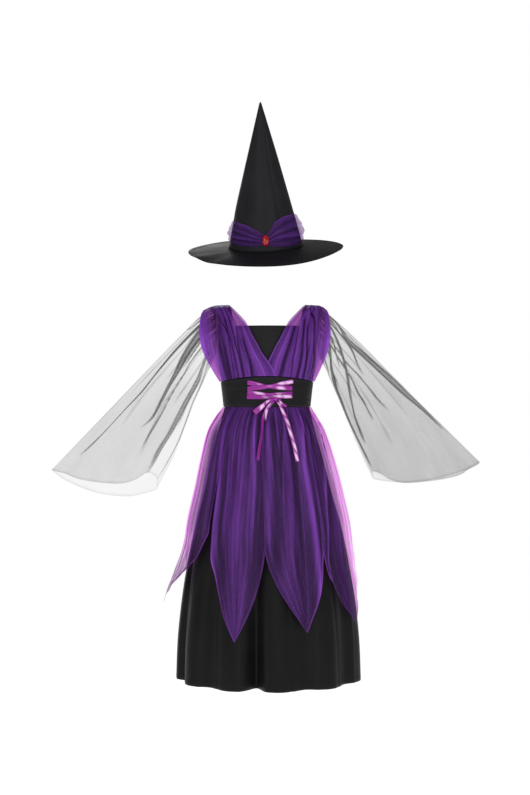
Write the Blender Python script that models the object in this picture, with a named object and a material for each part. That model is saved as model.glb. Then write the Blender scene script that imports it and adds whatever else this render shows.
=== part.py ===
# Child's witch costume, filled out as if worn: a pointed hat, and below it a dress with a crossed
# organza bodice, net sleeves, a laced belt and a skirt of pointed organza panels over a black one.
# Metres, +Z up, the front faces -Y. The origin is the middle of the wearer's shoulder line.
# Tables are in millimetres and degrees. An angle is 0 at the front and grows towards +X.

from collections import namedtuple
from math import cos, exp, pi, radians, sin, sqrt

import bmesh
import bpy
from mathutils import Matrix, Vector

MM = 0.001
SEAM = 0.3  # clear gap left at every seam
CLOTH = 1.2  # wall of satin and organza
NET = 1.0  # wall of the sleeves
BELT_WALL = 2.0
BELT_OUT = 1.6  # how far the belt stands off the bodice's outer face
RIBBON_WALL = 1.0
HAT_WALL = 1.6

BELT_TOP_FRONT = 159.5  # drops below the shoulder line
BELT_TOP_SIDE = 170.5
BELT_BOTTOM = 225.2
HEM_DROP = 820.0
NECKLINE_DROP = 51.0
UNDERARM_DROP = 116.0
STRAP_INNER = 77.0  # distances from the middle
STRAP_OUTER = 106.0
STRAP_TOP_DROP = 6.5

BRIM_RADIUS = 170.6
CROWN_RADIUS = 82.0
CROWN_HEIGHT = 309.0
HAT_TILT = 16.0  # forward
HAT_ROLL = 2.2  # tip towards -X
HAT_PLACE = (-3.0, 0.0, 127.6)  # middle of the crown's foot

RIBBON_WIDTH = 10.0
TAIL_WIDTH = 8.5

BodySection = namedtuple("BodySection", "drop width front back")
BODY = [
    BodySection(0, 112, 70, 66),
    BodySection(NECKLINE_DROP, 112, 85, 78),
    BodySection(90, 111, 90, 82),
    BodySection(125, 106, 87, 81),
    BodySection(BELT_TOP_FRONT, 101.5, 83, 80),
    BodySection(BELT_BOTTOM, 94, 81, 79),
]

SkirtSection = namedtuple("SkirtSection", "drop width front back shift")
UNDERSKIRT = [
    SkirtSection(226, 93.4, 80.4, 78.4, 0),
    SkirtSection(276, 106, 90, 88, -1),
    SkirtSection(338, 123, 100, 98, 0),
    SkirtSection(408, 139, 109, 106, 2),
    SkirtSection(487, 160, 118, 115, 3),
    SkirtSection(556, 174, 124, 121, 3),
    SkirtSection(655, 189, 129, 128, 4),
    SkirtSection(751, 197, 133, 132, 4),
    SkirtSection(HEM_DROP, 199, 134, 134, 4),
]
OVERSKIRT = [
    SkirtSection(226, 95.4, 82.4, 80.4, 0),
    SkirtSection(250, 109, 94, 91, -2),
    SkirtSection(276, 123, 104, 100, -2),
    SkirtSection(338, 141, 116, 112, 0),
    SkirtSection(408, 157, 125, 121, 2),
    SkirtSection(487, 174, 132, 128, 2),
    SkirtSection(556, 181, 136, 132, 3),
    SkirtSection(655, 193, 138, 136, 4),
    SkirtSection(751, 201, 140, 139, 4),
]

Fold = namedtuple("Fold", "angle spread height")
UNDERSKIRT_FOLDS = [
    Fold(-90, 8, 5),
    Fold(-74, 5, -13),
    Fold(-57, 8, 6),
    Fold(-41, 7, -9),
    Fold(-24, 8, 7),
    Fold(-9, 5, -32),
    Fold(6, 8, 7),
    Fold(24, 7, -10),
    Fold(40, 8, 6),
    Fold(58, 7, -9),
    Fold(78, 9, 5),
    Fold(97, 6, -9),
    Fold(114, 8, 6),
    Fold(131, 6, -14),
    Fold(149, 8, 7),
    Fold(166, 6, -11),
    Fold(183, 9, 6),
    Fold(201, 6, -15),
    Fold(219, 8, 7),
    Fold(236, 6, -10),
    Fold(252, 7, 5),
]
OVERSKIRT_FOLDS = [
    Fold(-96, 6, 4),
    Fold(-84, 5, -4),
    Fold(-71, 7, 5),
    Fold(-58, 5, -4),
    Fold(-46, 5, 3),
    Fold(-34, 5, -4),
    Fold(-21, 6, 4),
    Fold(-10, 4, -3),
    Fold(2, 4, -4),
    Fold(13, 6, 4),
    Fold(25, 5, -4),
    Fold(36, 5, 4),
    Fold(50, 6, -4),
    Fold(63, 6, 4),
    Fold(76, 5, -4),
    Fold(90, 6, 4),
    Fold(104, 5, -4),
    Fold(118, 7, 4),
    Fold(132, 5, -4),
    Fold(146, 6, 4),
    Fold(161, 5, -4),
    Fold(175, 6, 4),
    Fold(189, 5, -4),
    Fold(203, 7, 4),
    Fold(217, 5, -4),
    Fold(230, 6, 4),
    Fold(243, 5, -3),
]

# One pointed panel of the overskirt: its sides at the notch beside it, and its tip.
Panel = namedtuple("Panel", "name left right notch tip_angle tip_drop layer lift")
PANELS = [
    Panel("front_left", -42.0, -2.0, 512, -20.4, 716, 0, 2),
    Panel("front_right", -2.6, 38.5, 518, 24.0, 698, 1, 0),
    Panel("side_right", 39.5, 86.0, 534, 64.0, 690, 0, 6),
    Panel("back_right", 84.0, 130.0, 525, 110.0, 704, 1, 2),
    Panel("rear_right", 128.0, 174.0, 516, 149.0, 712, 0, 2),
    Panel("rear_left", 172.0, 218.0, 520, 197.0, 700, 1, 2),
    Panel("back_left", 216.0, 262.0, 512, 240.0, 708, 0, 3),
    Panel("side_left", 260.0, 316.0, 488, 268.0, 658, 1, 30),
]
PANEL_OVERLAP = 3.0  # degrees added to each side of a panel at the waist
LAYER_STEP = 3.2

# The drape's edge at the neck, two points across the chest, and its edge over the sleeve.
DrapeRow = namedtuple(
    "DrapeRow", "drop neck_x neck_y chest_x chest_y side_x side_y side_drop wing_x wing_y wing_drop"
)
DRAPE_ROWS = [
    DrapeRow(1, 84, 0, 98, 0, 118, 0, 3, 140, 0, 12),
    DrapeRow(8, 77, 36, 93, 32, 116, 20, 12, 145, 13, 24),
    DrapeRow(22, 64, 62, 85, 54, 112, 36, 28, 147, 26, 42),
    DrapeRow(44, 45, 84, 77, 71, 109, 52, 50, 148, 36, 62),
    DrapeRow(72, 31, 96, 71, 80, 105, 60, 77, 145, 40, 84),
    DrapeRow(102, 15, 99, 65, 85, 101, 60, 106, 137, 36, 112),
    DrapeRow(132, 1, 95, 59, 83, 95, 54, 136, 121, 22, 143),
    DrapeRow(BELT_TOP_FRONT, -6, 89, 54, 78, 87, 49, 168, 104.5, 8, BELT_TOP_SIDE),
]
WING_LEFT = 1.0  # how far each wing reaches beyond the belt's half width, of the table's reach
WING_RIGHT = 0.78
DRAPE_PLEATS = [  # across the drape from the neck edge, 0, to the wing edge, 1
    Fold(0.10, 0.05, 1.6),
    Fold(0.22, 0.05, -2.2),
    Fold(0.34, 0.06, 2.4),
    Fold(0.46, 0.05, -2.4),
    Fold(0.58, 0.06, 2.6),
    Fold(0.70, 0.05, -2.6),
    Fold(0.82, 0.06, 3.0),
    Fold(0.93, 0.04, -1.5),
]

# Upper and lower edge of a sleeve seen from the front, and its half depth.
SleeveRow = namedtuple("SleeveRow", "top_x top_drop low_x low_drop depth")
SLEEVE_LEFT = [
    SleeveRow(115.5, 6.9, 113.5, 112, 32),
    SleeveRow(149, 29, 126, 138, 30),
    SleeveRow(205, 86, 141, 172, 41),
    SleeveRow(272, 156, 160, 212, 49),
    SleeveRow(340, 228, 179, 262, 55),
    SleeveRow(412, 302, 203, 322, 58),
    SleeveRow(473, 365, 243, 397, 60),
]
SLEEVE_RIGHT = [
    SleeveRow(115.5, 6.8, 113.5, 112, 31),
    SleeveRow(146, 31, 126, 134, 29),
    SleeveRow(200, 81, 139, 164, 40),
    SleeveRow(268, 151, 158, 208, 49),
    SleeveRow(338, 222, 180, 262, 55),
    SleeveRow(408, 290, 205, 318, 58),
    SleeveRow(468, 348, 233, 378, 60),
]
SleeveFold = namedtuple("SleeveFold", "angle spread height")  # the angle goes round the sleeve
SLEEVE_FOLDS = [
    SleeveFold(14, 10, 5),
    SleeveFold(38, 9, -6),
    SleeveFold(64, 11, 6),
    SleeveFold(92, 9, -5),
    SleeveFold(118, 11, 5),
    SleeveFold(146, 10, -6),
    SleeveFold(204, 11, 6),
    SleeveFold(232, 9, -6),
    SleeveFold(262, 12, 6),
    SleeveFold(292, 9, -5),
    SleeveFold(322, 11, 5),
]
CUFF_DIP = {"left": (18, 44), "right": (22, 30)}  # how far the hem dips at the front and the back

# Hat band from the gem at the front to the seam at the back: its edges and how far it stands off.
BandRow = namedtuple("BandRow", "angle low high bulge")
BAND_LEFT = [
    BandRow(2.5, 15, 37, 3.0),
    BandRow(16, 13, 46, 4.5),
    BandRow(38, 13, 57, 6.0),
    BandRow(62, 15, 60, 6.0),
    BandRow(90, 17, 59, 5.5),
    BandRow(120, 16, 54, 5.0),
    BandRow(150, 15, 48, 4.5),
    BandRow(179.6, 15, 46, 4.0),
]
BAND_RIGHT = [
    BandRow(2.5, 15, 37, 3.0),
    BandRow(10, 12.5, 48, 4.4),
    BandRow(18, 10.5, 61, 5.8),
    BandRow(38, 9, 71, 8.5),
    BandRow(62, 9, 73, 10.0),
    BandRow(90, 11, 69, 9.0),
    BandRow(120, 13, 62, 7.0),
    BandRow(150, 15, 50, 5.0),
    BandRow(179.6, 15, 46, 4.0),
]

# The ribbon's stretches over the belt: end points from the middle, and which layer each lies in.
Strand = namedtuple("Strand", "name start_x start_drop middle_x middle_drop end_x end_drop layer")
LACING = [
    Strand("lace_upper_under", -42, 172.5, 6, 181.5, 54, 184.6, 0),
    Strand("lace_upper_over", 56, 169.8, 6, 180.5, -42, 186.2, 1),
    Strand("lace_lower_under", -42, 194.5, 8, 198.6, 54, 196.4, 0),
    Strand("lace_lower_over", 54, 201, 8, 203.6, -43, 203, 1),
]

# The bow's ribbons from the knot outwards: place from the middle, how far each point stands off
# what is behind it, the ribbon's width there and how far its face turns from the front.
RibbonPoint = namedtuple("RibbonPoint", "x drop out width turn")
Ribbon = namedtuple("Ribbon", "name points")
BOW = [
    Ribbon(
        "bow_end_left",
        [
            RibbonPoint(12.4, 208.6, 6.9, 5, 0),
            RibbonPoint(0, 214, 9.2, 7, 10),
            RibbonPoint(-12.7, 225, 9.5, 11, 10),
            RibbonPoint(-27, 237, 5, 12, 5),
        ],
    ),
    Ribbon(
        "bow_loop_left",
        [
            RibbonPoint(14.6, 212.1, 4.9, 4, 0),
            RibbonPoint(3.5, 222, 4.9, 5, 10),
            RibbonPoint(-1.6, 234, 4.2, 9.5, 20),
            RibbonPoint(-3.4, 253, 4, 3, 30),
        ],
    ),
    Ribbon(
        "bow_loop_right",
        [
            RibbonPoint(25.8, 207.8, 6.4, 5, 0),
            RibbonPoint(30.5, 217, 8.9, 6, -10),
            RibbonPoint(41, 223.5, 8, 5, 0),
        ],
    ),
    Ribbon(
        "tail_left",
        [
            RibbonPoint(15.4, 212.6, 2.4, 4, 0),
            RibbonPoint(-1, 230, 1.7, 6, 10),
            RibbonPoint(-8.5, 250, 1.6, TAIL_WIDTH, 45),
            RibbonPoint(-11, 282, 3.5, TAIL_WIDTH, 60),
            RibbonPoint(-15.5, 309, 3.5, TAIL_WIDTH, 52),
            RibbonPoint(-18.7, 336, 4.5, TAIL_WIDTH, 45),
        ],
    ),
    Ribbon(
        "tail_right",
        [
            RibbonPoint(20.6, 212.3, 4.6, 4, 0),
            RibbonPoint(28, 222, 4.0, 6, 0),
            RibbonPoint(37.5, 243, 2.5, TAIL_WIDTH, 5),
            RibbonPoint(47, 270, 2.0, TAIL_WIDTH, -10),
            RibbonPoint(56.6, 304, 1.5, TAIL_WIDTH, 8),
            RibbonPoint(64, 339, 2.5, TAIL_WIDTH, 0),
        ],
    ),
]
KNOT_OUT = 6.0


def smooth_row(rows, column, at, key=0):
    # Monotone cubic through one column of a table, so that no section bulges between its rows.
    xs = [row[key] for row in rows]
    ys = [getattr(row, column) for row in rows]
    if at <= xs[0]:
        return ys[0]
    if at >= xs[-1]:
        return ys[-1]
    slopes = [(ys[i + 1] - ys[i]) / (xs[i + 1] - xs[i]) for i in range(len(xs) - 1)]
    tangents = [slopes[0]]
    for i in range(1, len(slopes)):
        before, after = slopes[i - 1], slopes[i]
        tangents.append(0.0 if before * after <= 0 else 2 * before * after / (before + after))
    tangents.append(slopes[-1])
    i = max(k for k in range(len(slopes)) if xs[k] <= at)
    step = xs[i + 1] - xs[i]
    t = (at - xs[i]) / step
    return (
        (2 * t**3 - 3 * t**2 + 1) * ys[i]
        + (t**3 - 2 * t**2 + t) * step * tangents[i]
        + (3 * t**2 - 2 * t**3) * ys[i + 1]
        + (t**3 - t**2) * step * tangents[i + 1]
    )


def through(points, t):
    # Catmull-Rom curve through the points, t from 0 to 1.
    place = t * (len(points) - 1)
    i = min(int(place), len(points) - 2)
    t = place - i
    b, c = points[i], points[i + 1]
    a = points[i - 1] if i > 0 else b + (b - c)
    d = points[i + 2] if i + 2 < len(points) else c + (c - b)
    return 0.5 * (
        2 * b + (c - a) * t + (2 * a - 5 * b + 4 * c - d) * t**2 + (3 * b - a - 3 * c + d) * t**3
    )


def ease(value, start, end):
    t = min(max((value - start) / (end - start), 0.0), 1.0)
    return t * t * (3 - 2 * t)


def turn_apart(first, second):
    return abs((first - second + 180) % 360 - 180)


def folded(folds, angle):
    return sum(f.height * exp(-((turn_apart(angle, f.angle) / f.spread) ** 2)) for f in folds)


def add_material(name, colour, roughness, metallic=0.0):
    material = bpy.data.materials.new(name)
    material.use_nodes = True
    shader = material.node_tree.nodes["Principled BSDF"]
    shader.inputs["Base Color"].default_value = (*colour, 1.0)
    shader.inputs["Roughness"].default_value = roughness
    shader.inputs["Metallic"].default_value = metallic
    material.diffuse_color = (*colour, 1.0)
    return material


def add_object(name, bm, material, parent=None):
    mesh = bpy.data.meshes.new(name)
    bm.to_mesh(mesh)
    bm.free()
    mesh.shade_smooth()
    mesh.materials.append(material)
    piece = bpy.data.objects.new(name, mesh)
    bpy.context.scene.collection.objects.link(piece)
    piece.parent = parent
    return piece


def add_sheet(name, rows, wall, material, inside):
    # A ribbon or other strip through rows of points on its outer side, thickened towards the inside.
    bm = bmesh.new()
    grid = [[bm.verts.new(point * MM) for point in row] for row in rows]
    for upper, lower in zip(grid, grid[1:]):
        for i in range(len(upper) - 1):
            bm.faces.new((upper[i], lower[i], lower[i + 1], upper[i + 1]))
    turn_outwards(bm, bm.faces[:], inside)
    piece = add_object(name, bm, material)
    solidify = piece.modifiers.new("wall", "SOLIDIFY")
    solidify.thickness = wall * MM
    solidify.offset = -1.0
    return piece


def turn_outwards(bm, faces, inside):
    bm.normal_update()
    centre = Vector(inside) * MM
    facing = sum(f.normal.dot(f.calc_center_median() - centre) * f.calc_area() for f in faces)
    if facing < 0:
        bmesh.ops.reverse_faces(bm, faces=faces)


def add_wall(name, outer, inner, material, inside, loop=False, parent=None):
    # Cloth between two matching grids of points; a missing point leaves that place open.
    bm = bmesh.new()
    grid, partner = [], {}
    for outer_row, inner_row in zip(outer, inner):
        row = []
        for point, behind in zip(outer_row, inner_row):
            corner = None
            if point is not None:
                corner = bm.verts.new(point * MM)
                partner[corner] = bm.verts.new(behind * MM)
            row.append(corner)
        grid.append(row)
    shown = []
    for upper, lower in zip(grid, grid[1:]):
        count = len(upper)
        for i in range(count if loop else count - 1):
            j = (i + 1) % count
            corners = (upper[i], lower[i], lower[j], upper[j])
            if None not in corners:
                shown.append(bm.faces.new(corners))
    turn_outwards(bm, shown, inside)
    rim = []
    for face in shown:
        for corner in face.loops:
            if len(corner.edge.link_faces) == 1:
                rim.append((corner.vert, corner.link_loop_next.vert))
    for face in shown:
        bm.faces.new([partner[v] for v in reversed(face.verts)])
    for first, second in rim:
        bm.faces.new((second, first, partner[first], partner[second]))
    loose = [v for v in bm.verts if not v.link_faces]
    bmesh.ops.delete(bm, geom=loose, context="VERTS")
    return add_object(name, bm, material, parent)


# The black bodice: front and back, each with two straps, sewn at the sides and the shoulders.
def belt_top(angle):
    return BELT_TOP_FRONT + (BELT_TOP_SIDE - BELT_TOP_FRONT) * sin(radians(angle)) ** 2


def body_point(angle, drop, out=0.0):
    turn = radians(angle)
    width = smooth_row(BODY, "width", drop) + out
    depth = smooth_row(BODY, "front" if cos(turn) > 0 else "back", drop) + out
    return Vector((width * sin(turn), -depth * cos(turn), -drop))


def bodice_top(angle):
    # Straight across the neck, then down round the armhole to the underarm.
    across = 112 * sin(radians(angle))
    return NECKLINE_DROP + (UNDERARM_DROP - NECKLINE_DROP) * ease(abs(across), STRAP_OUTER - 4, 112) ** 0.8


def strap_edge(x):
    # Angle at which the neckline's section has this distance from the middle.
    share = x / 112.0
    angle = 90 if share >= 1 else 0
    low, high = 0.0, 90.0
    for _ in range(30):
        angle = (low + high) / 2
        low, high = (angle, high) if sin(radians(angle)) < share else (low, angle)
    return angle


def bodice_rows(front, out):
    inner, outer = strap_edge(STRAP_INNER), strap_edge(STRAP_OUTER)
    turns = [0, 14, 29, inner, (inner + outer) / 2, outer, 76, 83, 89.8]
    turns = [-t for t in reversed(turns[1:])] + turns
    if not front:
        turns = [180 - t for t in turns]
    rows = []
    for share in (0.0, 0.2, 0.42, 0.66, 0.84, 1.0):  # from the neckline down to the belt
        row = []
        for angle in turns:
            top, bottom = bodice_top(angle), belt_top(angle) - 2 * SEAM
            row.append(body_point(angle, top + (bottom - top) * share, out))
        rows.append(row)
    side = -1 if front else 1
    straps = []
    for fall in (0.0, 0.35, 0.68):  # over the shoulder, from where the strap meets the other one
        row = [None] * len(turns)
        for i, angle in enumerate(turns):
            base = rows[0][i]
            if abs(i - len(turns) // 2) in (3, 4, 5):
                end = Vector((base.x * 1.04, side * SEAM / 2, -STRAP_TOP_DROP + out))
                point = end.lerp(base, sin(fall * pi / 2))
                point.z = base.z + (end.z - base.z) * cos(fall * pi / 2)
                row[i] = point
        straps.append(row)
    return straps + rows


def add_bodice(name, front, material):
    return add_wall(name, bodice_rows(front, 0), bodice_rows(front, -CLOTH), material, (0, 0, -120))


# The belt, in two halves sewn at the sides.
def belt_rows(start, end, out):
    rows = []
    for share in (0.0, 0.5, 1.0):
        row = []
        for step in range(17):
            angle = start + (end - start) * step / 16
            drop = belt_top(angle) + (BELT_BOTTOM - belt_top(angle)) * share
            row.append(body_point(angle, drop, out))
        rows.append(row)
    return rows


def add_belt(name, start, end, material):
    outer, inner = belt_rows(start, end, BELT_OUT), belt_rows(start, end, BELT_OUT - BELT_WALL)
    return add_wall(name, outer, inner, material, (0, 0, -190))


# The skirts.
def skirt_base(table, angle, drop):
    turn = radians(angle)
    width = smooth_row(table, "width", drop)
    depth = smooth_row(table, "front" if cos(turn) > 0 else "back", drop)
    return width, depth, smooth_row(table, "shift", drop)


def section_reach(width, depth, angle):
    turn = radians(angle)
    return sqrt((width * sin(turn)) ** 2 + (depth * cos(turn)) ** 2)


def skirt_place(table, angle, drop, out):
    width, depth, shift = skirt_base(table, angle, drop)
    turn = radians(angle)
    return Vector(((width + out) * sin(turn) + shift, -(depth + out) * cos(turn), -drop))


def underskirt_out(angle, drop):
    return folded(UNDERSKIRT_FOLDS, angle) * ease(drop, 380, HEM_DROP) ** 0.9


def add_underskirt(name, start, end, material):
    turns = [start + 0.1, end - 0.1]
    for fold in UNDERSKIRT_FOLDS:
        for offset in (-1.0, 0.0, 1.0):
            for whole in (0, -360):
                angle = fold.angle + offset * fold.spread + whole
                if start + 2 < angle < end - 2:
                    turns.append(angle)
    turns = sorted(turns)
    kept = [turns[0]]
    for angle in turns[1:-1]:
        if angle - kept[-1] > 2.2 and turns[-1] - angle > 2.2:
            kept.append(angle)
    kept.append(turns[-1])
    drops = [BELT_BOTTOM + SEAM, 262, 310, 370, 440, 515, 590, 665, 742, HEM_DROP]
    outer, inner = (
        [[skirt_place(UNDERSKIRT, a, d, underskirt_out(a, d) - out) for a in kept] for d in drops]
        for out in (0, CLOTH)
    )
    return add_wall(name, outer, inner, material, (0, 0, -500))


def overskirt_out(angle, drop, layer):
    # Radial distance outside the overskirt's section, kept clear of the black skirt's folds.
    own = folded(OVERSKIRT_FOLDS, angle) * (0.5 * ease(drop, 226, 250) + 0.5 * ease(drop, 250, 420))
    width, depth, _ = skirt_base(OVERSKIRT, angle, drop)
    under_width, under_depth, _ = skirt_base(UNDERSKIRT, angle, drop)
    below = max(underskirt_out(angle + shift, drop) for shift in (-4, 0, 4))
    gap = section_reach(under_width, under_depth, angle) - section_reach(width, depth, angle)
    clear = CLOTH + 0.4 + 3.0 * ease(drop, 226, 262)
    step = CLOTH + 0.6 + (LAYER_STEP - CLOTH - 0.6) * ease(drop, 226, 270)
    return max(own, gap + below + clear) + layer * step


def panel_sides(panel, drop):
    if drop <= panel.notch:
        spare = PANEL_OVERLAP * (1 - ease(drop, 280, panel.notch))
        return panel.left - spare, panel.right + spare
    share = (drop - panel.notch) / (panel.tip_drop - panel.notch)
    half = (panel.right - panel.left) / 2 * (1 - share**1.6)
    middle = (panel.left + panel.right) / 2
    middle += (panel.tip_angle - middle) * share**1.3
    return middle - half, middle + half


def panel_point(panel, share, drop, out=0.0):
    left, right = panel_sides(panel, drop)
    angle = left + (right - left) * share
    lift = panel.lift * ease(drop, panel.notch, panel.tip_drop) ** 1.2
    return skirt_place(OVERSKIRT, angle, drop, overskirt_out(angle, drop, panel.layer) + lift + out)


def add_panel(panel, material):
    start = BELT_BOTTOM + SEAM
    drops = [start, 252, 290, 345, 410, 470]
    drops = [d for d in drops if d < panel.notch - 25] + [panel.notch]
    for share in (0.22, 0.44, 0.64, 0.82, 0.975):
        drops.append(panel.notch + (panel.tip_drop - panel.notch) * share)
    outer, inner = (
        [[panel_point(panel, i / 10, d, out) for i in range(11)] for d in drops] for out in (0, -CLOTH)
    )
    return add_wall("overskirt_" + panel.name, outer, inner, material, (0, 0, -450))


# The organza drapes: each runs from the belt over the shoulder, gathered, and hides the armhole.
def drape_row(share, front, side, over):
    at = share * (len(DRAPE_ROWS) - 1)
    indexed = namedtuple("Indexed", ("index",) + DrapeRow._fields)
    table = [indexed(i, *row) for i, row in enumerate(DRAPE_ROWS)]
    get = lambda column: smooth_row(table, column, at)
    drop = get("drop")
    depth = -1 if front else 1
    flatten = 1.0 if front else 0.95
    lap = over * ease(drop, 75, 115)
    wing = WING_LEFT if side < 0 else WING_RIGHT
    points = [
        Vector((get("neck_x") - 13 * over * ease(drop, 105, 160), get("neck_y") * flatten + 5.0 * lap, drop)),
        Vector((get("chest_x"), get("chest_y") * flatten + 2.0 * lap, drop)),
        Vector((get("side_x"), get("side_y") * flatten, get("side_drop"))),
        Vector((104.5 + (get("wing_x") - 104.5) * wing, get("wing_y"), get("wing_drop"))),
    ]
    return [Vector((side * p.x, depth * (p.y + SEAM / 2), -p.z)) for p in points]


def drape_point(share, across, front, side, over, wall):
    here = drape_row(share, front, side, over)
    point = through(here, across)
    along = through(here, min(across + 0.02, 1.0)) - through(here, max(across - 0.02, 0.0))
    above = through(drape_row(max(share - 0.03, 0), front, side, over), across)
    below = through(drape_row(min(share + 0.03, 1), front, side, over), across)
    normal = along.cross(below - above)
    if share <= 0.0:
        normal.y = 0.0
    if share >= 1.0:
        normal.z = 0.0
    normal.normalize()
    if normal.dot(point - Vector((0, 0, -110))) < 0:
        normal = -normal
    pleat = sum(f.height * exp(-(((across - f.angle) / f.spread) ** 2)) for f in DRAPE_PLEATS)
    fade = 0.35 + 0.65 * sin(pi * min(max(share, 0.0), 1.0)) ** 0.7
    moved = point + normal * (pleat * fade - wall)
    if share >= 1.0:
        turn = min(abs(point.x) / 104.0, 1.0)
        moved.z = -(BELT_TOP_FRONT + (BELT_TOP_SIDE - BELT_TOP_FRONT) * turn * turn - 2 * SEAM)
    return moved


def add_drape(name, front, side, over, material):
    shares = (0.0, 0.1, 0.22, 0.36, 0.52, 0.68, 0.84, 1.0)
    outer, inner = (
        [[drape_point(share, i / 16, front, side, over, wall) for i in range(17)] for share in shares]
        for wall in (0.0, CLOTH)
    )
    return add_wall(name, outer, inner, material, (side * 60, 0, -110))


# The net sleeves: gathered round the armhole, open and wide at the cuff.
def sleeve_point(table, side, dips, share, angle, wall):
    indexed = namedtuple("Indexed", ("index",) + SleeveRow._fields)
    rows = [indexed(i, *row) for i, row in enumerate(table)]
    at = share * (len(rows) - 1)
    get = lambda column: smooth_row(rows, column, at)
    upper = Vector((get("top_x"), 0, -get("top_drop")))
    lower = Vector((get("low_x"), 0, -get("low_drop")))
    turn = radians(angle)
    half = (upper - lower) / 2
    across = Vector((0, -1, 0))
    out = folded(SLEEVE_FOLDS, angle) * (0.14 + 0.86 * ease(share, 0.12, 0.8)) - wall
    length = half.length + out
    depth = get("depth") + out
    point = (upper + lower) / 2 + half.normalized() * length * cos(turn) + across * depth * sin(turn)
    dip = dips[0] if sin(turn) > 0 else dips[1]
    dip *= abs(sin(turn)) ** 1.4 * ease(share, 0.55, 1.0)
    point += Vector((-0.12, 0, -1)) * dip
    if share < 0.2:  # the head follows the bodice round the armhole
        point.x -= 5.0 * abs(sin(turn)) * (1 - share / 0.2)
    return Vector((side * point.x, point.y, point.z))


def add_sleeve(name, table, side, dips, material):
    turns = [0]
    for fold in SLEEVE_FOLDS:
        turns += [fold.angle - fold.spread * 0.9, fold.angle, fold.angle + fold.spread * 0.9]
    turns = sorted(t for t in turns if t >= 0)
    kept = [turns[0]]
    for angle in turns[1:]:
        if angle - kept[-1] > 6 and 360 - angle > 6:
            kept.append(angle)
    shares = (0.0, 0.08, 0.18, 0.32, 0.48, 0.65, 0.83, 1.0)
    outer, inner = (
        [[sleeve_point(table, side, dips, share, angle, wall) for angle in kept] for share in shares]
        for wall in (0.0, NET)
    )
    return add_wall(name, outer, inner, material, (side * 210, 0, -180), loop=True)


# Ribbon: lacing on the belt, then a bow whose ends hang over the overskirt.
def belt_lie(x, drop, out):
    width = smooth_row(BODY, "width", drop) + BELT_OUT + out
    depth = smooth_row(BODY, "front", drop) + BELT_OUT + out
    return Vector((x, -depth * sqrt(max(1 - (x / width) ** 2, 0.0)), -drop))


def add_strand(strand, material):
    ends = [
        Vector((strand.start_x, strand.start_drop, 0)),
        Vector((strand.middle_x, strand.middle_drop, 0)),
        Vector((strand.end_x, strand.end_drop, 0)),
    ]
    out = SEAM + RIBBON_WALL + strand.layer * (SEAM + RIBBON_WALL + 0.2)
    rows = [[], []]
    for step in range(11):
        share = step / 10
        place = through(ends, share)
        ahead = through(ends, min(share + 0.02, 1)) - through(ends, max(share - 0.02, 0))
        across = Vector((-ahead.y, ahead.x, 0)).normalized() * RIBBON_WIDTH / 2
        across.x = 0 if step in (0, 10) else across.x
        for row, way in zip(rows, (-1, 1)):
            edge = place + across * way
            row.append(belt_lie(edge.x, edge.y, out))
    return add_sheet(strand.name, rows, RIBBON_WALL, material, (0, 0, -195))


def add_ribbon(name, points, widths, turns, material, inside):
    # A free ribbon along its points; each turn is how far its face is turned from the front.
    centres = [Vector(p) for p in points]
    rows = [[], []]
    count = 2 * (len(centres) - 1) + 1
    for step in range(count):
        share = step / (count - 1)
        place = through(centres, share)
        ahead = through(centres, min(share + 0.02, 1)) - through(centres, max(share - 0.02, 0))
        i = share * (len(centres) - 1)
        k = min(int(i), len(centres) - 2)
        width = widths[k] + (widths[k + 1] - widths[k]) * (i - k)
        turn = radians(turns[k] + (turns[k + 1] - turns[k]) * (i - k))
        flat = Vector((-ahead.z, 0, ahead.x)).normalized()
        across = (flat * cos(turn) + Vector((0, 1, 0)) * sin(turn)) * width / 2
        for row, way in zip(rows, (-1, 1)):
            row.append(place + across * way)
    return add_sheet(name, rows, RIBBON_WALL, material, inside)


def overskirt_front(x, drop):
    # How far forward the overskirt's outer layer comes at this distance from the middle.
    nearest = 0.0
    for step in range(-30, 31):
        angle = step * 1.5
        place = skirt_place(OVERSKIRT, angle, drop, overskirt_out(angle, drop, 1))
        if abs(place.x - x) < 7:
            nearest = min(nearest, place.y)
    return nearest


def add_bow(material):
    knot = bmesh.new()
    bmesh.ops.create_uvsphere(knot, u_segments=12, v_segments=8, radius=1.0)
    bmesh.ops.scale(knot, vec=(5.6 * MM, 2.8 * MM, 4.4 * MM), verts=knot.verts)
    place = belt_lie(18, 207.4, 0)
    front = place.y - KNOT_OUT
    bmesh.ops.translate(knot, vec=Vector((18, front, -207.4)) * MM, verts=knot.verts)
    add_object("bow_knot", knot, material)

    def hang(points):
        # Points below the belt are brought in front of the overskirt.
        placed = []
        for x, drop, out in points:
            back = overskirt_front(x, drop) - 3 if drop > BELT_BOTTOM - 4 else place.y
            placed.append((x, min(back, place.y) - out, -drop))
        return placed

    inside = (0, 0, -230)
    for ribbon in BOW:
        points = hang([(p.x, p.drop, p.out) for p in ribbon.points])
        widths = [p.width for p in ribbon.points]
        add_ribbon(ribbon.name, points, widths, [p.turn for p in ribbon.points], material, inside)


# The hat, built upright round its own frame, which is tilted and raised as one.
def crown_radius(height):
    return CROWN_RADIUS + (1.6 - CROWN_RADIUS) * height / CROWN_HEIGHT + 1.6 * sin(pi * height / CROWN_HEIGHT)


def add_turned(name, profile, steps, material, parent):
    bm = bmesh.new()
    corners = [bm.verts.new((radius * MM, 0, height * MM)) for radius, height in profile]
    edges = [bm.edges.new(pair) for pair in zip(corners, corners[1:])]
    if profile[0][0] > 0.01:
        edges.append(bm.edges.new((corners[-1], corners[0])))
    bmesh.ops.spin(
        bm, geom=corners + edges, cent=(0, 0, 0), axis=(0, 0, 1), angle=2 * pi, steps=steps, use_merge=True
    )
    bmesh.ops.remove_doubles(bm, verts=bm.verts, dist=0.00002)
    bmesh.ops.recalc_face_normals(bm, faces=bm.faces)
    return add_object(name, bm, material, parent)


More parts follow.
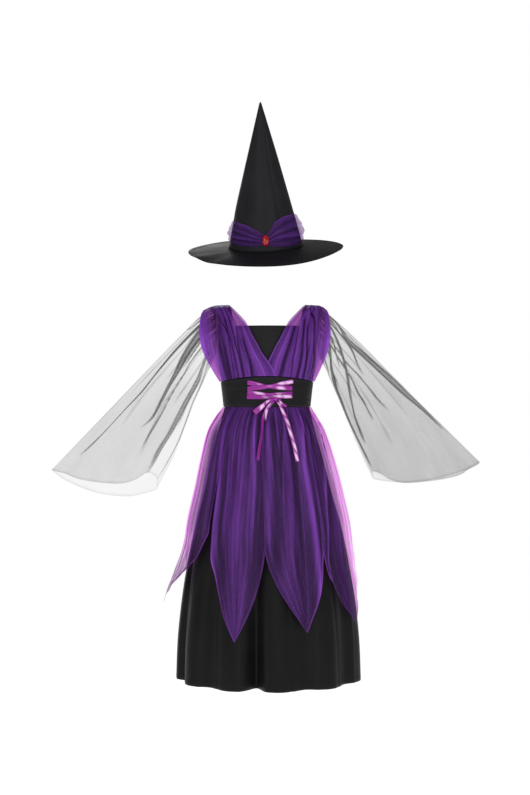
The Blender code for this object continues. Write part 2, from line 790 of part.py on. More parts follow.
def add_hat(felt, organza, glass):
    frame = bpy.data.objects.new("hat_frame", None)
    bpy.context.scene.collection.objects.link(frame)
    frame.location = Vector(HAT_PLACE) * MM
    turn = Matrix.Rotation(radians(-HAT_ROLL), 4, "Y") @ Matrix.Rotation(radians(HAT_TILT), 4, "X")
    frame.rotation_euler = turn.to_euler()

    heights = [0, 60, 130, 210, 275, CROWN_HEIGHT - 3]
    outer = [(crown_radius(h), h) for h in heights] + [(0, CROWN_HEIGHT)]
    inner = [(crown_radius(h) - HAT_WALL, h) for h in heights[:-1]]
    inner.append((0, CROWN_HEIGHT - 14))
    add_turned("hat_crown", list(reversed(inner)) + outer, 32, felt, frame)

    def brim_drop(radius):
        return -0.105 * max(radius - CROWN_RADIUS, 0.0) - SEAM

    radii = [CROWN_RADIUS - 2, CROWN_RADIUS + 1, 104, 128, 150, BRIM_RADIUS]
    top = [(r, brim_drop(r)) for r in radii]
    under = [(r, brim_drop(r) - HAT_WALL) for r in reversed(radii)]
    brim = add_turned("hat_brim", top + under, 44, felt, frame)
    for vertex in brim.data.vertices:  # the sides lift and the front dips a little
        x, y = vertex.co.x / MM, vertex.co.y / MM
        radius = sqrt(x * x + y * y)
        grow = max(radius - CROWN_RADIUS - 2, 0) / (BRIM_RADIUS - CROWN_RADIUS)
        vertex.co.z += (6.0 * (x / radius) ** 2 - 4.0 * max(-y / radius, 0)) * grow**1.5 * MM

    for name, side, table in (("hat_band_left", -1, BAND_LEFT), ("hat_band_right", 1, BAND_RIGHT)):
        outer, inner = [], []
        for across in (1.0, 0.84, 0.67, 0.5, 0.33, 0.16, 0.0):
            row, behind = [], []
            for step in range(19):
                angle = 2.5 + (179.85 - 2.5) * step / 18
                low, high = smooth_row(table, "low", angle), smooth_row(table, "high", angle)
                bulge = smooth_row(table, "bulge", angle)
                height = low + (high - low) * across
                ridge = 1.5 * cos(across * 4 * pi + 0.4) * ease(angle, 2, 30)
                puff = min(sin(pi * across), 1.0) ** 0.6 if 0 < across < 1 else 0.0
                out = CLOTH + 0.6 + (bulge + ridge) * puff
                reach = crown_radius(height) + out
                turn = radians(angle)
                away = Vector((side * sin(turn), -cos(turn), 0))
                row.append(away * reach + Vector((0, 0, height)))
                behind.append(away * (reach - CLOTH) + Vector((0, 0, height)))
            outer.append(row)
            inner.append(behind)
        add_wall(name, outer, inner, organza, (0, 0, 30), parent=frame)

    gem = bmesh.new()
    bmesh.ops.create_uvsphere(gem, u_segments=16, v_segments=10, radius=1.0)
    for vertex in gem.verts:
        vertex.co.y = min(vertex.co.y, 0.25)
    bmesh.ops.scale(gem, vec=(7.2 * MM, 4.5 * MM, 12 * MM), verts=gem.verts)
    bmesh.ops.rotate(gem, matrix=Matrix.Rotation(radians(-14.6), 3, "X"), verts=gem.verts)
    bmesh.ops.translate(gem, vec=Vector((0, -(crown_radius(26) + 6.4), 25)) * MM, verts=gem.verts)
    bmesh.ops.dissolve_limit(gem, angle_limit=radians(0.5), verts=gem.verts, edges=gem.edges)
    add_object("hat_gem", gem, glass, frame)


for old in list(bpy.data.objects):
    bpy.data.objects.remove(old, do_unlink=True)

black_satin = add_material("black_satin", (0.018, 0.018, 0.022), 0.45)
belt_satin = add_material("belt_satin", (0.016, 0.016, 0.019), 0.5)
purple_organza = add_material("purple_organza", (0.19, 0.035, 0.42), 0.4)
bodice_organza = add_material("bodice_organza", (0.2, 0.035, 0.43), 0.4)
black_net = add_material("black_net", (0.05, 0.05, 0.055), 0.7)
ribbon_satin = add_material("ribbon_satin", (0.46, 0.04, 0.5), 0.25)
hat_satin = add_material("hat_satin", (0.02, 0.02, 0.024), 0.5)
hat_organza = add_material("hat_organza", (0.1, 0.02, 0.3), 0.4)
red_glass = add_material("red_glass", (0.6, 0.01, 0.01), 0.1)

add_bodice("bodice_front", True, black_satin)
add_bodice("bodice_back", False, black_satin)
add_belt("belt_front", -89.9, 89.9, belt_satin)
add_belt("belt_back", 90.1, 269.9, belt_satin)
add_underskirt("underskirt_front", -90, 90, black_satin)
add_underskirt("underskirt_back", 90, 270, black_satin)
for panel in PANELS:
    add_panel(panel, purple_organza)
add_drape("drape_front_left", True, -1, 1.0, bodice_organza)
add_drape("drape_front_right", True, 1, 0.0, bodice_organza)
add_drape("drape_back_left", False, -1, 1.0, bodice_organza)
add_drape("drape_back_right", False, 1, 0.0, bodice_organza)
add_sleeve("sleeve_left", SLEEVE_LEFT, -1, CUFF_DIP["left"], black_net)
add_sleeve("sleeve_right", SLEEVE_RIGHT, 1, CUFF_DIP["right"], black_net)
for strand in LACING:
    add_strand(strand, ribbon_satin)
add_bow(ribbon_satin)
add_hat(hat_satin, hat_organza, red_glass)
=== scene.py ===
from math import cos, pi, radians, sin, sqrt

import bmesh
import bpy
import numpy as np
from mathutils import Matrix, Vector


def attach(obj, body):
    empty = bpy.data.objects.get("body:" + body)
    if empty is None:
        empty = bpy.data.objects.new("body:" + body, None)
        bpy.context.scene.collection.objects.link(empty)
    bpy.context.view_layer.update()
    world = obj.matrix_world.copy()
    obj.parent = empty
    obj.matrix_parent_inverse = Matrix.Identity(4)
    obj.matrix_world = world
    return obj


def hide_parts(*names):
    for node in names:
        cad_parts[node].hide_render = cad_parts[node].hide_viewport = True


# A child's witch costume: pointed hat, organza over a black dress, net sleeves and a laced belt.
# Cloth tables are in millimetres below the shoulder line and degrees from the front towards +X.

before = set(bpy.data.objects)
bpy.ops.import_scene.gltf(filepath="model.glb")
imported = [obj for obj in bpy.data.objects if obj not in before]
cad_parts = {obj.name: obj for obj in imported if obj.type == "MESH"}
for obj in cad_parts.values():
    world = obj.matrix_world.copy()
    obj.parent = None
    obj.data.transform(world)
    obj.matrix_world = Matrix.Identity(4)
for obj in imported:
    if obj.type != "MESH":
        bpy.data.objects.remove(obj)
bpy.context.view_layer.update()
mm = 0.001


# Camera and light

view = {"place": (-0.0044, -2.6, -0.2046), "lens": 53.5}
light = {
    "backdrop": 1.0,
    "fill": 0.2,
    "lamps": [
        # place, aimed at, size, watts
        ((-1.3, -2.5, 0.75), (0, 0, -0.25), 0.8, 13),
        ((1.15, -2.45, 0.3), (0, 0, -0.25), 0.6, 13),
        ((0.0, -2.9, -0.6), (0, 0, -0.35), 1.0, 5),
        ((-0.6, 2.2, 0.9), (0, 0, -0.2), 1.2, 9),
    ],
    "floor": (-1.35, 0.9, 0.82),
}


def setScene():
    scene = bpy.context.scene
    scene.view_settings.view_transform = "Standard"
    camera = bpy.data.objects.new("camera", bpy.data.cameras.new("camera"))
    camera.location = view["place"]
    camera.rotation_euler = (radians(90), 0, 0)
    camera.data.lens = view["lens"]
    camera.data.clip_end = 200
    scene.collection.objects.link(camera)
    scene.camera = camera
    world = bpy.data.worlds.new("studio")
    world.use_nodes = True
    sky = world.node_tree.nodes["Background"]
    sky.inputs["Color"].default_value = (1, 1, 1, 1)
    looking = world.node_tree.nodes.new("ShaderNodeLightPath")
    reach = world.node_tree.nodes.new("ShaderNodeMapRange")
    reach.inputs["To Min"].default_value = light["fill"]
    reach.inputs["To Max"].default_value = light["backdrop"]
    world.node_tree.links.new(looking.outputs["Is Camera Ray"], reach.inputs["Value"])
    world.node_tree.links.new(reach.outputs["Result"], sky.inputs["Strength"])
    scene.world = world
    for place, aim, size, watts in light["lamps"]:
        data = bpy.data.lights.new("softbox", "AREA")
        data.shape = "DISK"
        data.size = size
        data.energy = watts
        lamp = bpy.data.objects.new("softbox", data)
        lamp.location = place
        lamp.rotation_euler = (Vector(aim) - Vector(place)).to_track_quat("-Z", "Y").to_euler()
        scene.collection.objects.link(lamp)


# Small tools for cloth


def ease(value, start, end):
    t = np.clip((value - start) / (end - start), 0.0, 1.0)
    return t * t * (3 - 2 * t)


def rowCurve(xs, ys, at):
    # Monotone cubic through a column of a table, so the cloth never bulges between its rows.
    xs, ys = np.asarray(xs, float), np.asarray(ys, float)
    slopes = np.diff(ys) / np.diff(xs)
    lean = np.zeros(len(xs))
    lean[0], lean[-1] = slopes[0], slopes[-1]
    same = slopes[:-1] * slopes[1:] > 0
    total = np.where(same, slopes[:-1] + slopes[1:], 1.0)
    lean[1:-1] = np.where(same, 2 * slopes[:-1] * slopes[1:] / total, 0.0)
    at = np.clip(at, xs[0], xs[-1])
    i = np.clip(np.searchsorted(xs, at, side="right") - 1, 0, len(xs) - 2)
    step = xs[i + 1] - xs[i]
    t = (at - xs[i]) / step
    return (
        (2 * t**3 - 3 * t**2 + 1) * ys[i]
        + (t**3 - 2 * t**2 + t) * step * lean[i]
        + (3 * t**2 - 2 * t**3) * ys[i + 1]
        + (t**3 - t**2) * step * lean[i + 1]
    )


def curveThrough(points, share):
    # Catmull-Rom through a few points, each an array of the cloth's places.
    place = share * (len(points) - 1)
    i = np.minimum(place.astype(int), len(points) - 2)
    t = (place - i)[:, None]
    stack = np.stack(points)
    rows = np.arange(len(share))
    b, c = stack[i, rows], stack[i + 1, rows]
    a = np.where((i > 0)[:, None], stack[np.maximum(i - 1, 0), rows], 2 * b - c)
    last = len(points) - 1
    d = np.where((i + 2 <= last)[:, None], stack[np.minimum(i + 2, last), rows], 2 * c - b)
    return 0.5 * (
        2 * b + (c - a) * t + (2 * a - 5 * b + 4 * c - d) * t**2 + (3 * b - a - 3 * c + d) * t**3
    )


def turnApart(first, second):
    return (first - second + 180) % 360 - 180


def unit(vectors):
    return vectors / np.maximum(np.linalg.norm(vectors, axis=-1, keepdims=True), 1e-9)


def clothGrid(across, down, flat, place, closed=False):
    # A flat cut of cloth laid out as a grid, then every point moved to where the worn cloth is.
    bm = bmesh.new()
    weave = bm.loops.layers.uv.new("UVMap")
    bmesh.ops.create_grid(bm, x_segments=across, y_segments=down, size=0.5, calc_uvs=True)
    u = np.array([v.co.x + 0.5 for v in bm.verts])
    v = np.array([0.5 - v.co.y for v in bm.verts])
    for face in bm.faces:
        for corner in face.loops:
            spot = corner[weave].uv
            corner[weave].uv = (spot.x * flat[0], spot.y * flat[1])
    points, marks = place(u, v)
    for vert, point in zip(bm.verts, points * mm):
        vert.co = point
    for label, values in marks.items():
        layer = bm.verts.layers.float.new(label)
        for vert, value in zip(bm.verts, np.broadcast_to(values, u.shape)):
            vert[layer] = value
    if closed:
        bmesh.ops.remove_doubles(bm, verts=bm.verts, dist=0.00003)
    return bm


def faceOut(bm, inside):
    bm.normal_update()
    centre = Vector(inside) * mm
    facing = sum(f.normal.dot(f.calc_center_median() - centre) * f.calc_area() for f in bm.faces)
    if facing < 0:
        bmesh.ops.reverse_faces(bm, faces=bm.faces)


def addPiece(name, bm, finish, nodes=(), inside=None, wall=0.0):
    if inside is not None:
        faceOut(bm, inside)
    mesh = bpy.data.meshes.new(name)
    bm.to_mesh(mesh)
    bm.free()
    mesh.shade_smooth()
    mesh.materials.append(finish)
    piece = bpy.data.objects.new(name, mesh)
    bpy.context.scene.collection.objects.link(piece)
    if wall:
        thick = piece.modifiers.new("wall", "SOLIDIFY")
        thick.thickness = wall * mm
        thick.offset = -1.0
    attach(piece, "root")
    if nodes:
        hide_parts(*nodes)
    return piece


def addStitches(name, lines, finish, long=2.4, gap=1.4, thick=0.32):
    # Rows of sewing thread along lines of points in millimetres, each stitch a small lens.
    bm = bmesh.new()
    for line in lines:
        steps = np.linalg.norm(np.diff(line, axis=0), axis=1)
        along = np.concatenate([[0], np.cumsum(steps)])
        for start in np.arange(gap, along[-1] - long, long + gap):
            ends = [
                Vector([np.interp(at, along, line[:, k]) for k in range(3)]) for at in (start, start + long)
            ]
            way = ends[1] - ends[0]
            turn = way.to_track_quat("X", "Z").to_matrix().to_4x4()
            size = Matrix.Diagonal((way.length / 2, thick, thick, 1))
            place = Matrix.Translation((ends[0] + ends[1]) / 2) @ turn @ size
            bmesh.ops.create_icosphere(bm, subdivisions=1, radius=1.0, matrix=place)
    bmesh.ops.scale(bm, vec=(mm, mm, mm), verts=bm.verts)
    return addPiece(name, bm, finish)


# Finishes


def newFinish(name, colour, roughness, **sockets):
    finish = bpy.data.materials.new(name)
    finish.use_nodes = True
    shader = finish.node_tree.nodes["Principled BSDF"]
    shader.inputs["Base Color"].default_value = (*colour, 1)
    shader.inputs["Roughness"].default_value = roughness
    for label, value in sockets.items():
        shader.inputs[label.replace("_", " ")].default_value = value
    return finish, finish.node_tree, shader


def addNode(tree, kind, **values):
    node = tree.nodes.new(kind)
    for label, value in values.items():
        setattr(node, label, value)
    return node


def addMath(tree, what, first, second=0.5, third=None):
    node = addNode(tree, "ShaderNodeMath", operation=what)
    for socket, value in zip(node.inputs, (first, second, third)):
        if value is None:
            continue
        if isinstance(value, (int, float)):
            socket.default_value = value
        else:
            tree.links.new(value, socket)
    return node.outputs[0]


def addMark(tree, label):
    return addNode(tree, "ShaderNodeAttribute", attribute_name=label).outputs["Fac"]


def addMix(tree, share, first, second):
    node = addNode(tree, "ShaderNodeMix", data_type="RGBA")
    tree.links.new(share, node.inputs["Factor"])
    for socket, value in zip((node.inputs[6], node.inputs[7]), (first, second)):
        if isinstance(value, tuple):
            socket.default_value = (*value, 1)
        else:
            tree.links.new(value, socket)
    return node.outputs[2]


def addWeave(tree, threads):
    # Over and under threads, this many to the millimetre, on the cut's own flat map.
    spots = addNode(tree, "ShaderNodeUVMap", uv_map="UVMap").outputs[0]
    bands = []
    for way in ("X", "Y"):
        wave = addNode(tree, "ShaderNodeTexWave", bands_direction=way, wave_profile="SIN")
        wave.inputs["Scale"].default_value = 314 * threads
        wave.inputs["Distortion"].default_value = 0.0
        tree.links.new(spots, wave.inputs["Vector"])
        bands.append(wave.outputs["Fac"])
    return addMath(tree, "MULTIPLY", bands[0], bands[1])


def addNoise(tree, source, scale, stretch=(1, 1, 1), detail=3.0, roughness=0.55):
    mapping = addNode(tree, "ShaderNodeMapping")
    mapping.inputs["Scale"].default_value = stretch
    tree.links.new(source, mapping.inputs["Vector"])
    noise = addNode(tree, "ShaderNodeTexNoise")
    noise.inputs["Scale"].default_value = scale
    noise.inputs["Detail"].default_value = detail
    noise.inputs["Roughness"].default_value = roughness
    tree.links.new(mapping.outputs[0], noise.inputs["Vector"])
    return noise.outputs["Fac"]


def addRange(tree, value, low, high, start, end):
    node = addNode(tree, "ShaderNodeMapRange")
    for socket, number in zip(node.inputs[1:5], (low, high, start, end)):
        socket.default_value = number
    tree.links.new(value, node.inputs[0])
    return node.outputs[0]


def addBump(tree, shader, height, strength, distance, before=None):
    bump = addNode(tree, "ShaderNodeBump")
    bump.inputs["Strength"].default_value = strength
    bump.inputs["Distance"].default_value = distance
    tree.links.new(height, bump.inputs["Height"])
    if before is not None:
        tree.links.new(before, bump.inputs["Normal"])
    tree.links.new(bump.outputs[0], shader.inputs["Normal"])
    return bump.outputs[0]


def makeSatin(name, look):
    # Opaque satin: fine diagonal sheen, soft crumples, and a painted highlight in the lighter crest colour where the
    # piece marks its folded edges and crease ridges.
    finish, tree, shader = newFinish(
        name,
        look["colour"],
        look["roughness"],
        Specular_IOR_Level=look["gloss"],
        Sheen_Weight=look["sheen"],
        Sheen_Roughness=0.4,
        Anisotropic=look["brushed"],
    )
    spots = addNode(tree, "ShaderNodeTexCoord").outputs[look["map"]]
    cloudy = addNoise(tree, spots, look["cloud"], detail=4)
    tone = addRange(tree, cloudy, 0.3, 0.7, 0.0, 1.0)
    shade = addMix(tree, tone, look["colour"], look["light"])
    if look.get("marked"):
        # painted highlight: lighter crest colour along the marked folded edges and crease ridges
        paintedCrestLight = addMath(tree, "MULTIPLY", addMark(tree, "crease"), 0.8)
        shade = addMix(tree, paintedCrestLight, shade, look["crest"])
    tree.links.new(shade, shader.inputs["Base Color"])
    rough = addRange(tree, cloudy, 0.3, 0.7, look["roughness"] - 0.05, look["roughness"] + 0.07)
    tree.links.new(rough, shader.inputs["Roughness"])
    crumple = addNoise(tree, spots, look["crumple"], look["stretch"], detail=5)
    soft = addBump(tree, shader, crumple, 0.35, look["crumpleDepth"])
    if look["map"] == "UV":
        addBump(tree, shader, addWeave(tree, 2.2), 0.18, 0.00012, soft)
    else:
        grain = addNoise(tree, spots, 1500, detail=1)
        addBump(tree, shader, grain, 0.15, 0.0001, soft)
    return finish


def makeOrganza(name, look):
    # Sheer shot organza: painted shade makes it dark in its valleys and painted light makes it violet on its ridges,
    # from the ridge mark; pink where light comes through.
    finish, tree, shader = newFinish(
        name,
        look["colour"],
        look["roughness"],
        Specular_IOR_Level=look["gloss"],
        Sheen_Weight=look["sheen"],
        Sheen_Roughness=0.3,
        Sheen_Tint=(*look["crest"], 1),
    )
    spots = addNode(tree, "ShaderNodeTexCoord").outputs["UV"]
    streak = addNoise(tree, spots, 75, look["along"], detail=6, roughness=0.65)
    streaks = addRange(tree, streak, 0.34, 0.66, -look["streaks"], look["streaks"])
    mottle = addRange(tree, addNoise(tree, spots, 420, (1, 0.6, 1), detail=2), 0.3, 0.7, -0.05, 0.05)
    # painted light and shade: the ridge mark mixes the dark valley colour towards the light crest colour
    ridge = addMath(tree, "ADD", addMark(tree, "ridge"), addMath(tree, "ADD", streaks, mottle))
    ridge = addMath(tree, "MAXIMUM", addMath(tree, "MINIMUM", ridge, 1.0), 0.0)
    shade = addMix(tree, ridge, look["valley"], look["crest"])
    # the hem mark makes edges denser, as a rolled hem is, and lighter, a painted highlight
    hem = addMark(tree, "hem")
    shade = addMix(tree, hem, shade, look["hemColour"])
    tree.links.new(shade, shader.inputs["Base Color"])
    weave = addWeave(tree, 1.6)
    soft = addBump(tree, shader, addNoise(tree, spots, 70, (1, 0.25, 1), detail=4), 0.3, 0.0012)
    addBump(tree, shader, weave, 0.2, 0.00015, soft)
    clear = addNode(tree, "ShaderNodeBsdfTransparent")
    clear.inputs["Color"].default_value = (*look["through"], 1)
    thin = addRange(tree, streak, 0.34, 0.66, 0.72, 1.28)
    dense = addMath(tree, "MULTIPLY", addMark(tree, "dense"), thin)
    threads = addRange(tree, weave, 0.0, 1.0, -0.05, 0.1)
    dense = addMath(tree, "ADD", dense, threads)
    dense = addMath(tree, "ADD", dense, addMath(tree, "MULTIPLY", hem, look["hemDense"]))
    dense = addMath(tree, "MINIMUM", dense, 0.97)
    both = addNode(tree, "ShaderNodeMixShader")
    tree.links.new(dense, both.inputs[0])
    tree.links.new(clear.outputs[0], both.inputs[1])
    tree.links.new(shader.outputs[0], both.inputs[2])
    tree.links.new(both.outputs[0], tree.nodes["Material Output"].inputs["Surface"])
    return finish


def makeNet(name, look):
    # Fine six-sided net; the mark on each piece says how close its gathers lie.
    finish, tree, shader = newFinish(
        name, look["colour"], look["roughness"], Specular_IOR_Level=0.3, Sheen_Weight=0.15
    )
    spots = addNode(tree, "ShaderNodeUVMap", uv_map="UVMap").outputs[0]
    cells = addNode(tree, "ShaderNodeTexVoronoi", feature="DISTANCE_TO_EDGE", voronoi_dimensions="2D")
    cells.inputs["Scale"].default_value = 1000 / look["cell"]
    cells.inputs["Randomness"].default_value = 0.12
    tree.links.new(spots, cells.inputs["Vector"])
    thread = addRange(tree, cells.outputs["Distance"], 0.06, 0.2, 1.0, 0.0)
    level = addRange(tree, thread, 0.0, 1.0, 0.62, 1.75)
    drift = addRange(tree, addNoise(tree, spots, 22, (1, 0.35, 1), detail=3), 0.3, 0.7, 0.86, 1.14)
    dense = addMath(tree, "MULTIPLY", addMark(tree, "dense"), level)
    dense = addMath(tree, "MULTIPLY", dense, drift)
    dense = addMath(tree, "MINIMUM", dense, 0.96)
    tree.links.new(dense, shader.inputs["Alpha"])
    addBump(tree, shader, thread, 0.3, 0.0002)
    return finish


finishes = {
    "blackSatin": {
        "colour": (0.0048, 0.0048, 0.0053),
        "light": (0.0085, 0.0085, 0.0096),
        "crest": (0.026, 0.026, 0.029),
        "roughness": 0.42,
        "gloss": 0.1,
        "sheen": 0.02,
        "brushed": 0.25,
        "map": "UV",
        "cloud": 9,
        "crumple": 26,
        "stretch": (1, 0.3, 1),
        "crumpleDepth": 0.0012,
        "marked": True,
    },
    "bodiceSatin": {
        "colour": (0.012, 0.012, 0.0128),
        "light": (0.0165, 0.0165, 0.0178),
        "crest": (0.026, 0.026, 0.029),
        "roughness": 0.5,
        "gloss": 0.12,
        "sheen": 0.03,
        "brushed": 0.1,
        "map": "UV",
        "cloud": 14,
        "crumple": 34,
        "stretch": (1, 0.5, 1),
        "crumpleDepth": 0.0009,
        "marked": True,
    },
    "beltSatin": {
        "colour": (0.0085, 0.0085, 0.0092),
        "light": (0.0125, 0.0125, 0.014),
        "crest": (0.026, 0.026, 0.029),
        "roughness": 0.5,
        "gloss": 0.12,
        "sheen": 0.03,
        "brushed": 0.1,
        "map": "UV",
        "cloud": 16,
        "crumple": 40,
        "stretch": (0.4, 1, 1),
        "crumpleDepth": 0.0008,
        "marked": True,
    },
    "hatSatin": {
        "colour": (0.011, 0.011, 0.0135),
        "light": (0.017, 0.017, 0.0205),
        "crest": (0.03, 0.03, 0.035),
        "roughness": 0.5,
        "gloss": 0.12,
        "sheen": 0.02,
        "brushed": 0.1,
        "map": "Object",
        "cloud": 14,
        "crumple": 30,
        "stretch": (1, 1, 0.5),
        "crumpleDepth": 0.0012,
    },
    # the hat's satin painted darker for the brim: painted shade, not a different cloth
    "brimShadedSatin": {
        "colour": (0.0062, 0.006, 0.0076),
        "light": (0.0102, 0.01, 0.0124),
        "crest": (0.03, 0.03, 0.035),
        "roughness": 0.5,
        "gloss": 0.12,
        "sheen": 0.02,
        "brushed": 0.1,
        "map": "Object",
        "cloud": 14,
        "crumple": 30,
        "stretch": (1, 1, 0.5),
        "crumpleDepth": 0.0012,
    },
    "skirtOrganza": {
        "colour": (0.14, 0.03, 0.3),
        "valley": (0.048, 0.015, 0.088),
        "crest": (0.25, 0.065, 0.5),
        "hemColour": (0.36, 0.07, 0.6),
        "through": (1.0, 0.68, 1.0),
        "along": (1, 0.05, 1),
        "streaks": 0.13,
        "roughness": 0.45,
        "gloss": 0.12,
        "sheen": 0.12,
        "hemDense": 0.3,
    },
    "bodiceOrganza": {
        "colour": (0.15, 0.03, 0.32),
        "valley": (0.045, 0.01, 0.1),
        "crest": (0.27, 0.065, 0.54),
        "hemColour": (0.3, 0.08, 0.56),
        "through": (1.0, 0.56, 1.0),
        "along": (1, 0.05, 1),
        "streaks": 0.15,
        "roughness": 0.45,
        "gloss": 0.12,
        "sheen": 0.12,
        "hemDense": 0.22,
    },
    "hatOrganza": {
        "colour": (0.05, 0.012, 0.11),
        "valley": (0.015, 0.004, 0.035),
        "crest": (0.1, 0.026, 0.215),
        "hemColour": (0.16, 0.05, 0.32),
        "through": (0.9, 0.78, 0.97),
        "along": (0.06, 0.7, 1),
        "streaks": 0.12,
        "roughness": 0.45,
        "gloss": 0.15,
        "sheen": 0.12,
        "hemDense": 0.1,
    },
    "net": {"colour": (0.02, 0.02, 0.022), "roughness": 0.6, "cell": 1.5},
    "ribbon": {
        "colour": (0.27, 0.012, 0.27),
        "light": (0.4, 0.03, 0.4),
        "shine": (0.95, 0.62, 0.95),
        "roughness": 0.26,
        "gloss": 0.35,
        "sheen": 0.05,
    },
}

print("finishes")
blackSatin = makeSatin("black_satin", finishes["blackSatin"])
bodiceSatin = makeSatin("bodice_satin", finishes["bodiceSatin"])
beltSatin = makeSatin("belt_satin", finishes["beltSatin"])
hatSatin = makeSatin("hat_satin", finishes["hatSatin"])
brimShadedSatin = makeSatin("brim_shaded_satin", finishes["brimShadedSatin"])
skirtOrganza = makeOrganza("skirt_organza", finishes["skirtOrganza"])
bodiceOrganza = makeOrganza("bodice_organza", finishes["bodiceOrganza"])
hatOrganza = makeOrganza("hat_organza", finishes["hatOrganza"])
blackNet = makeNet("black_net", finishes["net"])


def makeRibbonSatin(look):
    finish, tree, shader = newFinish(
        "ribbon_satin",
        look["colour"],
        look["roughness"],
        Specular_IOR_Level=look["gloss"],
        Sheen_Weight=look["sheen"],
        Anisotropic=0.5,
    )
    spots = addNode(tree, "ShaderNodeTexCoord").outputs["UV"]
    streak = addRange(tree, addNoise(tree, spots, 90, (1, 0.1, 1), detail=3), 0.35, 0.65, 0.0, 1.0)
    shade = addMix(tree, streak, look["colour"], look["light"])
    # darker along both long edges
    hem = addMark(tree, "hem")
    shade = addMix(tree, addMath(tree, "MULTIPLY", hem, 0.5), shade, (0.14, 0.008, 0.15))
    # painted highlights: near white where the shine mark lies
    shade = addMix(tree, addMark(tree, "shine"), shade, look["shine"])
    tree.links.new(shade, shader.inputs["Base Color"])
    soft = addBump(tree, shader, addNoise(tree, spots, 160, (1, 0.4, 1), detail=3), 0.2, 0.0006)
    addBump(tree, shader, addWeave(tree, 2.5), 0.12, 0.0001, soft)
    return finish


def makeThread():
    finish, tree, shader = newFinish("black_thread", (0.02, 0.02, 0.022), 0.6)
    spots = addNode(tree, "ShaderNodeTexCoord").outputs["Object"]
    twist = addNoise(tree, spots, 2200, detail=1)
    shade = addMix(tree, twist, (0.012, 0.012, 0.014), (0.04, 0.04, 0.045))
    tree.links.new(shade, shader.inputs["Base Color"])
    addBump(tree, shader, twist, 0.4, 0.0001)
    return finish


def makeGem():
    finish, tree, shader = newFinish(
        "red_gem", (0.45, 0.004, 0.004), 0.08, IOR=1.5, Specular_IOR_Level=0.45
    )
    spots = addNode(tree, "ShaderNodeTexCoord").outputs["Object"]
    depth = addRange(tree, addNoise(tree, spots, 180, detail=2), 0.35, 0.65, 0.0, 1.0)
    shade = addMix(tree, depth, (0.3, 0.003, 0.004), (0.55, 0.01, 0.008))
    tree.links.new(shade, shader.inputs["Base Color"])
    return finish


ribbonSatin = makeRibbonSatin(finishes["ribbon"])
blackThread = makeThread()
gemRed = makeGem()
setScene()


# Hat, modelled upright and then leaned as a whole

hat = {"place": (-3.0, 0.0, 127.6), "tilt": 16.0, "roll": 2.2}
hatPlace = (
    Matrix.Translation(Vector(hat["place"]) * mm)
    @ Matrix.Rotation(radians(-hat["roll"]), 4, "Y")
    @ Matrix.Rotation(radians(hat["tilt"]), 4, "X")
)
crown = {
    "radius": 82.0,
    "height": 309.0,
    "wall": 1.4,
    "steps": 144,
    # angle, height, spread round in degrees, spread up, depth
    "dents": [
        (-38, 118, 26, 46, -2.6),
        (24, 170, 22, 60, -1.8),
        (-12, 235, 40, 40, -1.4),
        (62, 95, 20, 50, 1.6),
        (-70, 150, 22, 60, 1.4),
        (128, 110, 30, 55, -2.4),
        (170, 190, 24, 70, 1.5),
        (215, 130, 26, 50, -2.2),
        (262, 90, 22, 40, 1.6),
    ],
    # creases pressed in while it was folded: angle at the foot, angle higher up, depth
    "creases": [(-58, -40, -0.9), (33, 22, -0.8), (118, 130, -0.9), (236, 224, -0.9)],
}
brim = {
    "radius": 170.6,
    "wall": 1.6,
    "steps": 180,
    "waves": [(3, 40, 1.1), (5, 115, 0.7), (2, 200, 0.8)],  # waves round it, turned by, height
    "stitchRows": (163.5, 158.5),
}


def crownRadius(height):
    return crown["radius"] + (1.6 - crown["radius"]) * height / crown["height"] + 1.6 * np.sin(
        pi * height / crown["height"]
    )


def spinProfile(profile, steps, closed):
    bm = bmesh.new()
    corners = [bm.verts.new((0, radius * mm, height * mm)) for radius, height in profile]
    edges = [bm.edges.new(pair) for pair in zip(corners, corners[1:])]
    if closed:
        edges.append(bm.edges.new((corners[-1], corners[0])))
    bmesh.ops.spin(
        bm, geom=corners + edges, cent=(0, 0, 0), axis=(0, 0, 1), angle=2 * pi, steps=steps, use_merge=True
    )
    bmesh.ops.remove_doubles(bm, verts=bm.verts, dist=0.00002)
    bmesh.ops.recalc_face_normals(bm, faces=bm.faces)
    return bm


def crownShift(angle, height):
    shift = 0.0
    for at, level, wide, tall, depth in crown["dents"]:
        shift += depth * np.exp(-((turnApart(angle, at) / wide) ** 2) - ((height - level) / tall) ** 2)
    for foot, top, depth in crown["creases"]:
        line = foot + (top - foot) * height / 250
        shift += depth * np.exp(-((turnApart(angle, line) / 3.5) ** 2)) * ease(height, 20, 70)
    seam = np.exp(-((turnApart(angle, 180) / 1.6) ** 2))
    shift += 0.9 * seam
    return shift * ease(height, 0, 40) * (1 - ease(height, 265, 305))


def addCrown():
    heights = list(np.linspace(1.5, 296, 62)) + [300, 303.5, 306]
    outer = [(crownRadius(h) + 0.9 * np.exp(-((h - 2.5) / 1.6) ** 2), h) for h in heights]
    outer += [(1.7, 307.6), (0.9, 308.7), (0.0, 309.0)]
    inner = [(crownRadius(h) - crown["wall"], h) for h in reversed(heights[:-6])]
    profile = [(0.0, 294.0)] + [(max(r, 0.3), h) for r, h in inner] + [(crownRadius(0) - 1.0, 0.4)] + outer
    bm = spinProfile(profile, crown["steps"], False)
    for vert in bm.verts:
        x, y, z = vert.co / mm
        radius = sqrt(x * x + y * y)
        if radius > 0.5:
            angle = np.degrees(np.arctan2(x, -y))
            grow = 1 + crownShift(angle, z) / max(radius, 8.0)
            vert.co.x *= grow
            vert.co.y *= grow
    bmesh.ops.transform(bm, matrix=hatPlace, verts=bm.verts)
    return addPiece("hat_crown_cloth", bm, hatSatin, ["hat_crown"])


